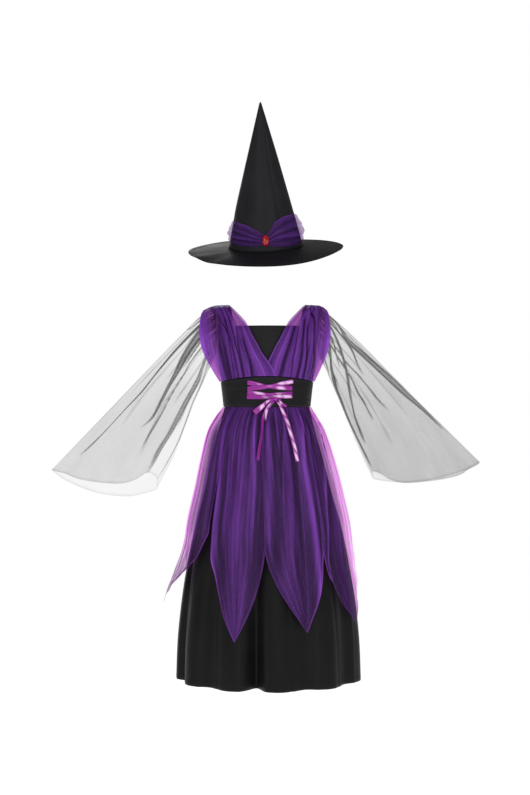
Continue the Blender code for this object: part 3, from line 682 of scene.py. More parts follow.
def brimLift(x, y):
    # How far the brim stands above its cone: its sides lift and its front dips.
    radius = np.hypot(x, y)
    grow = np.maximum(radius - crown["radius"] - 2, 0) / (brim["radius"] - crown["radius"])
    lift = (6.0 * (x / radius) ** 2 - 4.0 * np.maximum(-y / radius, 0)) * grow**1.5
    angle = np.degrees(np.arctan2(x, -y))
    for count, turned, height in brim["waves"]:
        lift = lift + height * np.sin(np.radians(count * (angle - turned))) * grow**2
    fold = np.exp(-((turnApart(angle, -63) / 7.0) ** 2)) - 0.7 * np.exp(-((turnApart(angle, -47) / 6.0) ** 2))
    return lift + 1.6 * fold * grow


def brimTop(radius):
    return -0.105 * np.maximum(radius - crown["radius"], 0.0) - 0.3


def addBrim():
    radii = np.concatenate([[80.2, 82.0, 84.5], np.linspace(88, 166, 30), [167.6, 169.2]])
    top = [(r, brimTop(r)) for r in radii]
    for r, height in ((168.6, 0.35), (165.6, 0.2), (164.2, 0.2)):  # the turned edge is a little thicker
        top = [(a, b + height if abs(a - r) < 0.7 else b) for a, b in top]
    edge = [(170.3, brimTop(170) - 0.35), (170.6, brimTop(170) - 0.85), (170.2, brimTop(170) - 1.4)]
    under = [(r, brimTop(r) - brim["wall"]) for r in reversed(radii)]
    lip = [(79.2, -1.9), (79.2, 3.4), (79.9, 3.4)]  # turned up inside the crown, where it is sewn
    bm = spinProfile(top + edge + under + lip, brim["steps"], True)
    for vert in bm.verts:
        vert.co.z += brimLift(vert.co.x / mm, vert.co.y / mm) * mm
    bmesh.ops.transform(bm, matrix=hatPlace, verts=bm.verts)
    piece = addPiece("hat_brim_cloth", bm, brimShadedSatin, ["hat_brim"])
    lines = []
    for radius in brim["stitchRows"]:
        turns = np.radians(np.linspace(0, 360, 361))
        x, y = radius * np.sin(turns), -radius * np.cos(turns)
        line = np.stack([x, y, brimTop(radius) + brimLift(x, y) + 0.12], axis=1)
        lines.append(np.array([hatPlace @ Vector(p * mm) for p in line]) / mm)
    addStitches("brim_stitches", lines, blackThread)
    return piece


band = {
    "fold": 0.6,
    "left": {
        "angle": (2.5, 16, 38, 62, 90, 120, 150, 179.6),
        "low": (15, 13, 13, 15, 17, 16, 15, 15),
        "high": (37, 46, 57, 60, 59, 54, 48, 46),
        "bulge": (3.0, 4.5, 6.0, 6.0, 5.5, 5.0, 4.5, 4.0),
    },
    "right": {
        "angle": (2.5, 10, 18, 38, 62, 90, 120, 150, 179.6),
        "low": (15, 12.5, 10.5, 9, 9, 11, 13, 15, 15),
        "high": (37, 48, 61, 71, 73, 69, 62, 50, 46),
        "bulge": (3.0, 4.4, 5.8, 8.5, 10.0, 9.0, 7.0, 5.0, 4.0),
    },
    # where each gather starts at the gem, where it ends up round the side, its spread and height
    "gathers": [
        (0.1, 0.07, 0.05, 1.2),
        (0.22, 0.2, 0.045, -1.4),
        (0.36, 0.36, 0.07, 1.7),
        (0.5, 0.55, 0.04, -1.8),
        (0.62, 0.7, 0.07, 1.6),
        (0.78, 0.86, 0.045, -1.3),
        (0.9, 0.95, 0.04, 1.0),
    ],
}


def addBand(side, table, name, node):
    def place(u, v):
        angle = 2.5 + (179.85 - 2.5) * u
        across = 1 - v
        low = rowCurve(table["angle"], table["low"], angle)
        high = rowCurve(table["angle"], table["high"], angle)
        bulge = rowCurve(table["angle"], table["bulge"], angle)
        height = low + (high - low) * across
        puff = np.sin(pi * np.clip(across, 0, 1)) ** 0.6
        ridge = np.zeros_like(u)
        for start, end, spread, tall in band["gathers"]:
            line = start + (end - start) * ease(angle, 0, 70) + 0.02 * np.sin(angle * 0.06 + start * 20)
            ridge += tall * np.exp(-(((across - line) / spread) ** 2))
        ridge *= 0.55 + 0.45 * ease(angle, 2, 24)
        out = 1.8 + (bulge + 0.7 * np.cos(across * 4 * pi + 0.4) * ease(angle, 2, 30)) * puff + ridge * puff
        out += 0.8 * np.sin(angle * 0.11 + across * 9) * puff * ease(angle, 30, 70)
        reach = crownRadius(height) + out
        turn = np.radians(angle)
        points = np.stack([side * np.sin(turn) * reach, -np.cos(turn) * reach, height], axis=1)
        edge = np.minimum(v, 1 - v)
        # painted light on the gathers' ridges and painted shade in their dips; the hems are denser and painted
        # lighter
        marks = {
            "ridge": np.clip(0.46 + ridge * 0.2, 0, 1),
            "hem": np.exp(-((edge / 0.03) ** 2)),
            "dense": 0.82 - 0.5 * ease(angle, 48, 74) * (1 - ease(angle, 110, 135)),
        }
        return points, marks

    bm = clothGrid(170, 64, (0.27, 0.06), place)
    faceOut(bm, (0, 0, 30))
    bmesh.ops.transform(bm, matrix=hatPlace, verts=bm.verts)
    piece = addPiece(name, bm, hatOrganza, [node])
    return piece


gem = {"half": (7.2, 4.5, 12.0), "lean": -14.6, "height": 25, "rim": 0.7}


def addGem():
    bm = bmesh.new()
    bmesh.ops.create_uvsphere(bm, u_segments=48, v_segments=32, radius=1.0)
    for vert in bm.verts:
        vert.co.y = min(vert.co.y, 0.25)
    bmesh.ops.scale(bm, vec=Vector(gem["half"]) * mm, verts=bm.verts)
    bmesh.ops.rotate(bm, matrix=Matrix.Rotation(radians(gem["lean"]), 3, "X"), verts=bm.verts)
    away = -(crownRadius(26) + 6.4)
    bmesh.ops.translate(bm, vec=Vector((0, away, gem["height"])) * mm, verts=bm.verts)
    bmesh.ops.transform(bm, matrix=hatPlace, verts=bm.verts)
    return addPiece("gem_oval", bm, gemRed, ["hat_gem"])


print("hat")
addCrown()
addBrim()
addBand(-1, band["left"], "hat_band_cloth_left", "hat_band_left")
addBand(1, band["right"], "hat_band_cloth_right", "hat_band_right")
addGem()


# Black bodice under the organza

seam = 0.3
body = {
    "drop": (0, 51, 90, 125, 159.5, 225.2),
    "width": (112, 112, 111, 106, 101.5, 94),
    "front": (70, 85, 90, 87, 83, 81),
    "back": (66, 78, 82, 81, 80, 79),
}
belt = {"topFront": 159.5, "topSide": 170.5, "bottom": 225.2, "out": 1.6, "wall": 1.6}
bodice = {
    "neckline": 51.0,
    "underarm": 116.0,
    "strap": (77.0, 106.0),
    "strapTop": 6.5,
    "wall": 1.0,
    "wrinkles": [(-48, 120, 9, 16, -1.0), (40, 104, 8, 22, -0.9), (0, 130, 12, 18, 0.8), (18, 75, 9, 14, -0.6)],
}


def beltTop(angle):
    return belt["topFront"] + (belt["topSide"] - belt["topFront"]) * np.sin(np.radians(angle)) ** 2


def bodyPoint(angle, drop, out=0.0):
    turn = np.radians(angle)
    width = rowCurve(body["drop"], body["width"], drop) + out
    front = rowCurve(body["drop"], body["front"], drop)
    back = rowCurve(body["drop"], body["back"], drop)
    depth = np.where(np.cos(turn) > 0, front, back) + out
    return np.stack([width * np.sin(turn), -depth * np.cos(turn), -drop], axis=-1)


def bodiceTop(angle):
    across = np.abs(112 * np.sin(np.radians(angle)))
    fall = ease(across, bodice["strap"][1] - 4, 112) ** 0.8
    return bodice["neckline"] + (bodice["underarm"] - bodice["neckline"]) * fall


strapTurns = tuple(np.degrees(np.arcsin(x / 112)) for x in bodice["strap"])


def addBodice(name, node, front):
    columns = 128
    # The grid's columns meet the straps' edges, so that the straps can be drawn out of its top.
    knots = (-89.8, -strapTurns[1], -strapTurns[0], strapTurns[0], strapTurns[1], 89.8)
    stops = (0, 0.09375, 0.1875, 0.8125, 0.90625, 1)

    def angleAt(u):
        angle = np.interp(u, stops, knots)
        return angle if front else 180 - angle

    def wrinkled(angle, drop):
        shift = np.zeros_like(angle)
        for at, level, wide, tall, depth in bodice["wrinkles"]:
            shift += depth * np.exp(-((turnApart(angle, at) / wide) ** 2) - ((drop - level) / tall) ** 2)
        return shift

    def place(u, v):
        angle = angleAt(u)
        top, bottom = bodiceTop(angle), beltTop(angle) - 2 * seam
        drop = top + (bottom - top) * v
        shift = wrinkled(angle, drop) * ease(v, 0, 0.2) * (1 - ease(v, 0.85, 1))
        fold = 0.35 * np.exp(-(((drop - top - 9) / 0.9) ** 2))  # the facing's stitched edge
        points = bodyPoint(angle, drop, shift - fold - 0.1)
        # painted highlight along the bodice's folded top edge
        return points, {"crease": np.exp(-(((drop - top) / 1.6) ** 2))}

    bm = clothGrid(columns, 48, (0.31, 0.12), place)
    bm.verts.ensure_lookup_table()
    side = -1 if front else 1
    for way in (-1, 1):
        low, high = (0.09375, 0.1875) if way < 0 else (0.8125, 0.90625)

        def placeStrap(u, v, low=low, high=high):
            across = low + (high - low) * u
            angle = angleAt(across)
            base = bodyPoint(angle, bodiceTop(angle), -0.1)
            endX = base[:, 0] * 1.04
            fall = (1 - v) * 1.0
            turn = fall * pi / 2
            # v runs from the shoulder, 0, down to the neckline, 1
            share = np.sin((1 - fall) * pi / 2)
            points = np.stack(
                [
                    endX + (base[:, 0] - endX) * share,
                    side * seam / 2 + (base[:, 1] - side * seam / 2) * share,
                    base[:, 2] + (-bodice["strapTop"] - base[:, 2]) * np.cos((1 - fall) * pi / 2),
                ],
                axis=1,
            )
            edge = np.minimum(u, 1 - u)
            # painted highlight along the strap's two rolled edges
            return points, {"crease": np.exp(-((edge / 0.05) ** 2)) + 0 * turn}

        strap = clothGrid(12, 24, (0.029, 0.09), placeStrap)
        mesh = bpy.data.meshes.new("strap")
        strap.to_mesh(mesh)
        strap.free()
        bm.from_mesh(mesh)
        bpy.data.meshes.remove(mesh)
    bmesh.ops.remove_doubles(bm, verts=bm.verts, dist=0.0002)
    bmesh.ops.recalc_face_normals(bm, faces=bm.faces)
    piece = addPiece(name, bm, bodiceSatin, [node], (0, 0, -120), bodice["wall"])
    turns = np.linspace(-strapTurns[0], strapTurns[0], 120)
    turns = turns if front else 180 - turns
    line = bodyPoint(turns, bodiceTop(turns) + 9, 0.05)
    stitches = addStitches(name + "_stitches", [line], blackThread)
    return piece


def addBelt(name, node, start, end):
    def place(u, v):
        angle = start + (end - start) * u
        drop = beltTop(angle) + (belt["bottom"] - beltTop(angle)) * v
        pull = np.zeros_like(u)
        for level, depth, lean in ((0.3, 0.35, 0.1), (0.55, -0.4, -0.16), (0.75, 0.3, 0.08)):
            line = level + lean * np.sin(np.radians(angle) * 2.3 + level * 5)
            pull += depth * np.exp(-(((v - line) / 0.06) ** 2))
        edge = np.minimum(v, 1 - v)
        roll = -0.9 * np.exp(-((edge / 0.018) ** 2)) + 0.25 * np.exp(-(((edge - 0.05) / 0.025) ** 2))
        pull *= ease(edge, 0.03, 0.2) * ease(np.minimum(u, 1 - u), 0.0, 0.05)
        points = bodyPoint(angle, drop, belt["out"] + pull + roll)
        # painted highlight along the belt's rolled top and bottom edges
        return points, {"crease": 0.6 * np.exp(-(((edge - 0.03) / 0.03) ** 2))}

    bm = clothGrid(130, 40, (0.29, 0.062), place)
    piece = addPiece(name, bm, beltSatin, [node], (0, 0, -190), belt["wall"])
    turns = np.linspace(start + 0.5, end - 0.5, 200)
    lines = [
        bodyPoint(turns, beltTop(turns) + 4.0, belt["out"] + 0.3),
        bodyPoint(turns, np.full_like(turns, belt["bottom"] - 4.0), belt["out"] + 0.3),
    ]
    stitches = addStitches(name + "_stitches", lines, blackThread)
    return piece


print("bodice and belt")
addBodice("bodice_cloth_front", "bodice_front", True)
addBodice("bodice_cloth_back", "bodice_back", False)
addBelt("belt_cloth_front", "belt_front", -89.9, 89.9)
addBelt("belt_cloth_back", "belt_back", 90.1, 269.9)


# Skirts

under = {
    "drop": (226, 276, 338, 408, 487, 556, 655, 751, 820),
    "width": (93.4, 106, 123, 139, 160, 174, 189, 197, 199),
    "front": (80.4, 90, 100, 109, 118, 124, 129, 133, 134),
    "back": (78.4, 88, 98, 106, 115, 121, 128, 132, 134),
    "shift": (0, -1, 0, 2, 3, 3, 4, 4, 4),
    "wall": 0.9,
    # angle, spread in degrees, height
    "folds": [
        (-90, 8, 5),
        (-74, 5, -13),
        (-57, 8, 6),
        (-41, 7, -9),
        (-24, 8, 7),
        (-9, 5, -32),
        (6, 8, 7),
        (24, 7, -10),
        (40, 8, 6),
        (58, 7, -9),
        (78, 9, 5),
        (97, 6, -9),
        (114, 8, 6),
        (131, 6, -14),
        (149, 8, 7),
        (166, 6, -11),
        (183, 9, 6),
        (201, 6, -15),
        (219, 8, 7),
        (236, 6, -10),
        (252, 7, 5),
    ],
    # finer creases: angle at the hem, angle higher up, where it starts, spread, height
    "creases": [
        (-83, -79, 560, 1.6, 1.6),
        (-66, -61, 600, 1.8, -1.6),
        (-49, -46, 520, 1.7, 1.8),
        (-33, -36, 590, 1.5, -1.5),
        (-18, -20, 640, 1.4, 1.6),
        (-2, -5, 600, 1.6, 2.0),
        (13, 11, 560, 1.6, -1.6),
        (31, 33, 620, 1.5, 1.6),
        (48, 46, 540, 1.7, -1.7),
        (67, 69, 590, 1.6, 1.6),
        (87, 84, 640, 1.7, -1.4),
        (106, 108, 540, 1.7, 1.7),
        (122, 125, 610, 1.6, -1.6),
        (141, 139, 560, 1.6, 1.8),
        (158, 160, 630, 1.6, -1.5),
        (176, 174, 540, 1.7, 1.7),
        (193, 196, 600, 1.5, -1.7),
        (211, 209, 560, 1.7, 1.7),
        (229, 231, 620, 1.5, -1.5),
        (245, 243, 570, 1.6, 1.6),
        (261, 259, 600, 1.6, -1.4),
    ],
}
over = {
    "drop": (226, 250, 276, 338, 408, 487, 556, 655, 751),
    "width": (95.4, 109, 123, 141, 157, 174, 181, 193, 201),
    "front": (82.4, 94, 104, 116, 125, 132, 136, 138, 140),
    "back": (80.4, 91, 100, 112, 121, 128, 132, 136, 139),
    "shift": (0, -2, -2, 0, 2, 2, 3, 4, 4),
    "folds": [
        (-96, 6, 4),
        (-84, 5, -4),
        (-71, 7, 5),
        (-58, 5, -4),
        (-46, 5, 3),
        (-34, 5, -4),
        (-21, 6, 4),
        (-10, 4, -3),
        (2, 4, -4),
        (13, 6, 4),
        (25, 5, -4),
        (36, 5, 4),
        (50, 6, -4),
        (63, 6, 4),
        (76, 5, -4),
        (90, 6, 4),
        (104, 5, -4),
        (118, 7, 4),
        (132, 5, -4),
        (146, 6, 4),
        (161, 5, -4),
        (175, 6, 4),
        (189, 5, -4),
        (203, 7, 4),
        (217, 5, -4),
        (230, 6, 4),
        (243, 5, -3),
    ],
    # main folds: angle at the belt, lower and at the hem, where it starts and ends, half width, height,
    # how strong its painted highlight is, and on which side its painted shade lies
    "creases": [
        (-47, -43, -40, 226, 760, 1.5, 2.0, 0.4, -1),
        (-37, -35, -33, 226, 520, 1.3, 1.2, 0.28, -1),
        (-26.6, -30, -33, 226, 330, 1.0, 1.6, 0.35, 1),
        (-20, -21, -22, 226, 600, 1.1, 1.0, 0.25, 1),
        (-12.2, -10.5, -11.5, 226, 560, 1.1, 1.8, 0.45, 1),
        (-6.5, -6.5, -7, 226, 680, 1.9, -1.7, -0.8, 1),
        (-0.5, -0.5, -1, 240, 560, 4.0, 1.0, 0.5, 1),
        (20, 13, 8, 226, 440, 0.9, 1.4, 0.3, -1),
        (27, 22, 19, 226, 600, 1.2, -1.0, -0.3, 1),
        (42, 32, 34, 226, 760, 1.7, 2.4, 0.55, 1),
        (52, 42, 41, 226, 700, 1.2, 1.0, 0.25, 1),
        (86, 58, 45, 240, 690, 1.3, 2.0, 0.7, 1),
        (60, 63, 80, 300, 690, 1.6, 1.2, 0.6, -1),
        (-56, -60, -64, 240, 640, 1.2, 1.2, 0.3, 1),
        (-68, -70, -73, 226, 620, 1.4, 1.2, 0.6, 1),
        (-80, -83, -86, 226, 560, 1.4, 1.2, 0.4, -1),
        (84, 88, 92, 226, 600, 1.4, 1.2, 0.45, 1),
        (98, 101, 103, 226, 640, 1.3, 1.6, 0.35, -1),
        (109, 113, 117, 226, 760, 1.6, 2.2, 0.5, 1),
        (124, 122, 124, 226, 520, 1.1, 1.4, 0.3, 1),
        (137, 139, 138, 226, 760, 1.5, 2.0, 0.45, -1),
        (151, 149, 146, 240, 600, 1.2, 1.4, 0.3, 1),
        (163, 166, 168, 226, 700, 1.4, -1.5, -0.45, 1),
        (176, 177, 179, 226, 560, 3.4, 1.0, 0.28, 1),
        (190, 187, 186, 226, 460, 1.0, 1.5, 0.35, -1),
        (203, 205, 208, 226, 760, 1.6, 2.2, 0.5, 1),
        (217, 216, 213, 240, 560, 1.2, 1.3, 0.3, -1),
        (231, 234, 236, 226, 700, 1.5, 1.9, 0.45, 1),
        (246, 243, 244, 226, 500, 1.1, 1.4, 0.3, 1),
        (258, 256, 252, 226, 640, 1.5, 1.8, 0.4, -1),
    ],
    "gathers": 96,  # small gathers sewn into the belt all round
    "seed": 11,
}


def skirtBase(table, angle, drop):
    turn = np.radians(angle)
    width = rowCurve(table["drop"], table["width"], drop)
    front = rowCurve(table["drop"], table["front"], drop)
    back = rowCurve(table["drop"], table["back"], drop)
    return width, np.where(np.cos(turn) > 0, front, back), rowCurve(table["drop"], table["shift"], drop)


def sectionReach(width, depth, angle):
    turn = np.radians(angle)
    return np.sqrt((width * np.sin(turn)) ** 2 + (depth * np.cos(turn)) ** 2)


def skirtPlace(table, angle, drop, out):
    width, depth, shift = skirtBase(table, angle, drop)
    turn = np.radians(angle)
    return np.stack([(width + out) * np.sin(turn) + shift, -(depth + out) * np.cos(turn), -drop], axis=-1)


def foldSum(folds, angle):
    total = np.zeros_like(angle)
    for at, spread, height in folds:
        total += height * np.exp(-((turnApart(angle, at) / spread) ** 2))
    return total


def underOut(angle, drop):
    return foldSum(under["folds"], angle) * ease(drop, 380, 820) ** 0.9


def underFine(angle, drop):
    total = np.zeros_like(angle)
    for low, high, start, spread, height in under["creases"]:
        line = high + (low - high) * (drop - 400) / 420
        total += height * np.exp(-((turnApart(angle, line) / spread) ** 2)) * ease(drop, start - 60, start + 120)
    return total


def addUnderskirt(name, node, start, end):
    def place(u, v):
        angle = start + 0.1 + (end - start - 0.2) * u
        drop = belt["bottom"] + seam + (820 - belt["bottom"] - seam) * v
        fine = underFine(angle, drop)
        stitch = -0.5 * np.exp(-(((drop - 811) / 1.0) ** 2))
        points = skirtPlace(under, angle, drop, underOut(angle, drop) + fine + stitch - 0.15)
        # painted highlight on the ridges of the fine creases and along the folded hem
        crest = np.clip(fine * 0.25, 0, 1) * 0.35 + 0.5 * np.exp(-(((drop - 819) / 1.5) ** 2))
        return points, {"crease": crest}

    bm = clothGrid(190, 112, (0.55, 0.6), place)
    piece = addPiece(name, bm, blackSatin, [node], (0, 0, -500), under["wall"])
    turns = np.linspace(start + 0.4, end - 0.4, 500)
    drops = np.full_like(turns, 811)
    line = skirtPlace(under, turns, drops, underOut(turns, drops) + underFine(turns, drops) + 0.1)
    stitches = addStitches(name + "_stitches", [line], blackThread, 3.0, 1.8)
    return piece


panels = {
    "overlap": 3.0,
    "step": 3.2,
    "across": 72,
    "down": 190,
    # how strongly each panel's left and right hems are painted lighter, a painted highlight on the denser rolled
    # hems
    "edges": {
        "front_left": (0.95, 0.25),
        "front_right": (0.3, 0.95),
        "side_right": (0.9, 0.4),
        "side_left": (1.3, 1.0),
        "back_right": (0.9, 0.35),
        "rear_right": (0.3, 0.9),
        "rear_left": (0.85, 0.4),
        "back_left": (0.35, 0.9),
    },
    # left, right, notch drop, tip angle, tip drop, layer, lift at the tip
    "front_left": (-42.0, -2.0, 512, -20.4, 716, 0, 2),
    "front_right": (-2.6, 38.5, 518, 24.0, 698, 1, 0),
    "side_right": (39.5, 86.0, 534, 64.0, 690, 0, 6),
    "back_right": (84.0, 130.0, 525, 110.0, 704, 1, 2),
    "rear_right": (128.0, 174.0, 516, 149.0, 712, 0, 2),
    "rear_left": (172.0, 218.0, 520, 197.0, 700, 1, 2),
    "back_left": (216.0, 262.0, 512, 240.0, 708, 0, 3),
    "side_left": (260.0, 316.0, 488, 268.0, 658, 1, 30),
}
panelNames = [name for name in panels if isinstance(panels[name], tuple)]


def makeGathers():
    # Uneven small folds below the belt: angle, spread, height, drop where it fades, drift.
    chance = np.random.default_rng(over["seed"])
    rows = []
    for i in range(over["gathers"]):
        angle = i * 360 / over["gathers"] + chance.uniform(-1.3, 1.3)
        height = chance.uniform(0.8, 2.6) * (1 if i % 2 else -0.8)
        fade = chance.choice([275, 310, 360, 440, 560, 700])
        rows.append((angle, chance.uniform(0.9, 1.7), height, fade, chance.uniform(-2.5, 2.5)))
    return rows


gathers = makeGathers()


def gatherOut(angle, drop):
    total = np.zeros_like(angle)
    for at, spread, height, fade, drift in gathers:
        line = at + drift * ease(drop, 226, 600)
        wide = spread * (0.8 + 0.9 * ease(drop, 226, 420))
        near = np.exp(-((turnApart(angle, line) / wide) ** 2))
        total += height * near * (1 - 0.9 * ease(drop, fade - 70, fade + 120))
    return total


def creaseLie(angle, drop):
    out, tone = np.zeros_like(angle), np.zeros_like(angle)
    for top, middle, low, start, end, half, height, shine, shaded in over["creases"]:
        away = turnApart(angle, rowCurve((240, 350, 550), (top, middle, low), drop)) / half
        fade = ease(drop, start - 10, start + 30) * (1 - ease(drop, end - 90, end + 30))
        near = np.exp(-(away**2)) * fade
        beside = np.exp(-(((away - 2.2 * shaded) / 1.5) ** 2)) * fade
        out += height * near
        # painted highlight along the crease and painted shade beside it
        tone += shine * near - 0.6 * abs(shine) * beside
    return out, tone


def overOut(angle, drop, layer):
    swell = 0.5 * ease(drop, 226, 250) + 0.5 * ease(drop, 250, 420)
    own = foldSum(over["folds"], angle) * swell
    fine = gatherOut(angle, drop) * (0.35 + 0.65 * ease(drop, 226, 245))
    crease, tone = creaseLie(angle, drop)
    gathered = fine * (1 - 0.5 * ease(drop, 300, 420))
    fine = gathered + crease
    width, depth, _ = skirtBase(over, angle, drop)
    underWidth, underDepth, _ = skirtBase(under, angle, drop)
    below = np.maximum.reduce([underOut(angle + shift, drop) for shift in (-4, 0, 4)])
    gap = sectionReach(underWidth, underDepth, angle) - sectionReach(width, depth, angle)
    clear = 1.6 + 3.0 * ease(drop, 226, 262)
    step = 1.8 + (panels["step"] - 1.8) * ease(drop, 226, 270)
    floor = gap + below + clear
    out = np.maximum(own, floor) + np.maximum(fine, -0.9 * (clear - 0.6)) + layer * step
    # painted light and shade: lighter where the folds and gathers stand out, plus each crease's painted highlight
    # and shade
    light = 0.3 + 0.03 * own + (0.15 - 0.1 * ease(drop, 270, 350)) * gathered + 1.2 * tone
    return out, light


def panelSides(row, drop):
    left, right, notch, tipAngle, tipDrop = row[:5]
    share = np.clip((drop - notch) / (tipDrop - notch), 0, 1)
    spare = panels["overlap"] * (1 - ease(drop, 280, notch))
    half = (right - left) / 2 * (1 - share**1.6)
    middle = (left + right) / 2
    middle = middle + (tipAngle - middle) * share**1.3
    return middle - half - spare, middle + half + spare


def addPanel(name):
    row = panels[name]
    left, right, notch, tipAngle, tipDrop, layer, lift = row
    top = belt["bottom"] + seam
    low = notch + (tipDrop - notch) * 0.992

    def place(u, v):
        drop = top + (low - top) * v
        sideLeft, sideRight = panelSides(row, drop)
        angle = sideLeft + (sideRight - sideLeft) * u
        out, tone = overOut(angle, drop, layer)
        out = out + lift * ease(drop, notch, tipDrop) ** 1.2
        width = np.radians(sideRight - sideLeft) * 160
        edge = np.minimum(u, 1 - u) * width
        free = ease(drop, notch - 30, notch + 30)
        sway = np.sin(drop * 0.045 + left) + 0.6 * np.sin(drop * 0.11 + right)
        out = out + free * np.exp(-((edge / 9) ** 2)) * (1.6 + 1.3 * sway)
        points = skirtPlace(over, angle, drop, out)
        # painted highlight along both hems, its strength set for each side and weaker towards a low tip
        leftGlow, rightGlow = panels["edges"][name]
        dull = 0.55 if lift < 10 else 0.0
        glow = np.where(u < 0.5, leftGlow, rightGlow) * (1 - dull * ease(drop, tipDrop - 150, tipDrop - 40))
        hem = np.exp(-((edge / 1.6) ** 2)) * free * glow
        sides = np.exp(-((turnApart(np.abs(turnApart(angle, 0)), 90) / 30) ** 2))
        streaked = np.sin(1.1 * angle + 0.012 * drop) + 0.7 * np.sin(2.3 * angle + 1 + 0.006 * drop)
        # painted shade: on the left the skirt's side is denser and darker, where the shaded cloth behind shows
        # through
        inner = np.exp(-((turnApart(angle, -60) / 8) ** 2)) * ease(drop, 245, 290) * (1 - ease(drop, 470, 540))
        dense = 0.74 - (0.64 - 0.12 * streaked) * sides + 0.36 * inner
        # the painted light of the folds, made darker lower down and on the left
        ridge = tone - 0.17 * ease(drop, 420, 580) - 0.15 * inner
        if lift > 10:
            dense = dense + 0.5 * ease(drop, 500, 620)  # its thin tip is seen edge on
        marks = {"ridge": np.clip(ridge, 0, 1), "hem": hem, "dense": dense}
        return points, marks

    bm = clothGrid(panels["across"], panels["down"], (0.16, 0.48), place)
    piece = addPiece("panel_" + name, bm, skirtOrganza, ["overskirt_" + name], (0, 0, -450))
    return piece


print("skirts")
addUnderskirt("underskirt_cloth_front", "underskirt_front", -90, 90)
addUnderskirt("underskirt_cloth_back", "underskirt_back", 90, 270)
for name in panelNames:
    addPanel(name)


# Crossed organza drapes over the bodice

drape = {
    "drop": (1, 8, 22, 44, 72, 102, 132, 159.5),
    "neckX": (84, 77, 64, 45, 31, 15, 1, -6),
    "neckY": (0, 36, 62, 84, 96, 99, 95, 89),
    "chestX": (98, 93, 85, 77, 71, 65, 59, 54),
    "chestY": (0, 32, 54, 71, 80, 85, 83, 78),
    "sideX": (118, 116, 112, 109, 105, 101, 95, 87),
    "sideY": (0, 20, 36, 52, 60, 60, 54, 49),
    "sideDrop": (3, 12, 28, 50, 77, 106, 136, 168),
    "wingX": (140, 145, 147, 148, 145, 137, 121, 104.5),
    "wingY": (0, 13, 26, 36, 40, 36, 22, 8),
    "wingDrop": (12, 24, 42, 62, 84, 112, 143, 170.5),
    "wingLeft": 1.0,
    "wingRight": 0.78,
    # large folds of the form: across, spread, height
    "pleats": [
        (0.10, 0.05, 1.6),
        (0.22, 0.05, -2.2),
        (0.34, 0.06, 2.4),
        (0.46, 0.05, -2.4),
        (0.58, 0.06, 2.6),
        (0.70, 0.05, -2.6),
        (0.82, 0.06, 3.0),
        (0.93, 0.04, -1.5),
    ],
    # fine folds fanning out: across at the shoulder, across at the belt, spread, height, start, end
    "fan": [
        (0.15, 0.19, 0.014, -0.9, 0.0, 0.6),
        (0.2, 0.27, 0.018, 1.1, 0.0, 1.0),
        (0.25, 0.22, 0.013, -1.0, 0.2, 1.0),
        (0.3, 0.36, 0.016, 1.2, 0.0, 0.8),
        (0.37, 0.33, 0.015, -1.1, 0.1, 1.0),
        (0.42, 0.46, 0.018, 1.1, 0.0, 1.0),
        (0.47, 0.41, 0.013, -1.1, 0.3, 1.0),
        (0.53, 0.58, 0.016, 1.2, 0.0, 0.7),
        (0.6, 0.52, 0.015, -1.0, 0.0, 1.0),
        (0.65, 0.69, 0.018, 1.2, 0.1, 1.0),
        (0.72, 0.64, 0.014, -1.1, 0.0, 1.0),
        (0.77, 0.8, 0.017, 1.3, 0.0, 1.0),
        (0.83, 0.75, 0.014, -1.0, 0.2, 1.0),
        (0.89, 0.87, 0.016, 1.1, 0.0, 0.8),
        (0.95, 0.93, 0.014, -0.8, 0.1, 1.0),
    ],
    "hem": 0.1,
    # the folds seen on each side, each painted as a dark line of shade: rows of share down and share across, half
    # width, depth of the painted shade
    "valleys": {
        -1: [
            (((0.1, 0.37), (0.39, 0.35), (0.62, 0.327), (0.82, 0.313), (1, 0.31)), 0.012, 0.6),
            (((0.5, 0.265), (0.68, 0.29), (0.88, 0.3), (1, 0.3)), 0.01, 0.5),
            (((0.0, 0.71), (0.33, 0.59), (0.52, 0.47), (0.7, 0.403), (0.86, 0.385)), 0.01, 0.6),
            (((0.4, 0.6), (0.65, 0.573), (0.81, 0.56), (1, 0.563)), 0.016, 0.5),
            (((0.3, 0.47), (0.6, 0.46), (0.8, 0.465), (1, 0.47)), 0.012, 0.35),
            (((0.55, 0.19), (0.8, 0.2), (1, 0.22)), 0.012, 0.35),
            (((0.2, 0.66), (0.46, 0.64), (0.64, 0.65), (0.8, 0.62), (1, 0.59)), 0.085, 0.5),
        ],
        1: [
            (((0.1, 0.3), (0.167, 0.357), (0.363, 0.563), (0.647, 0.657), (0.937, 0.8), (1, 0.82)), 0.026, 0.65),
            (((0.3, 0.33), (0.527, 0.383), (0.807, 0.437), (1, 0.42)), 0.028, 0.4),
            (((0.4, 0.45), (0.62, 0.497), (0.86, 0.543), (1, 0.55)), 0.014, 0.5),
            (((0.3, 0.19), (0.6, 0.2), (0.85, 0.19), (1, 0.18)), 0.02, 0.35),
            (((0.45, 0.27), (0.7, 0.29), (1, 0.31)), 0.01, 0.25),
            (((0.5, 0.7), (0.75, 0.72), (1, 0.74)), 0.012, 0.35),
        ],
    },
}


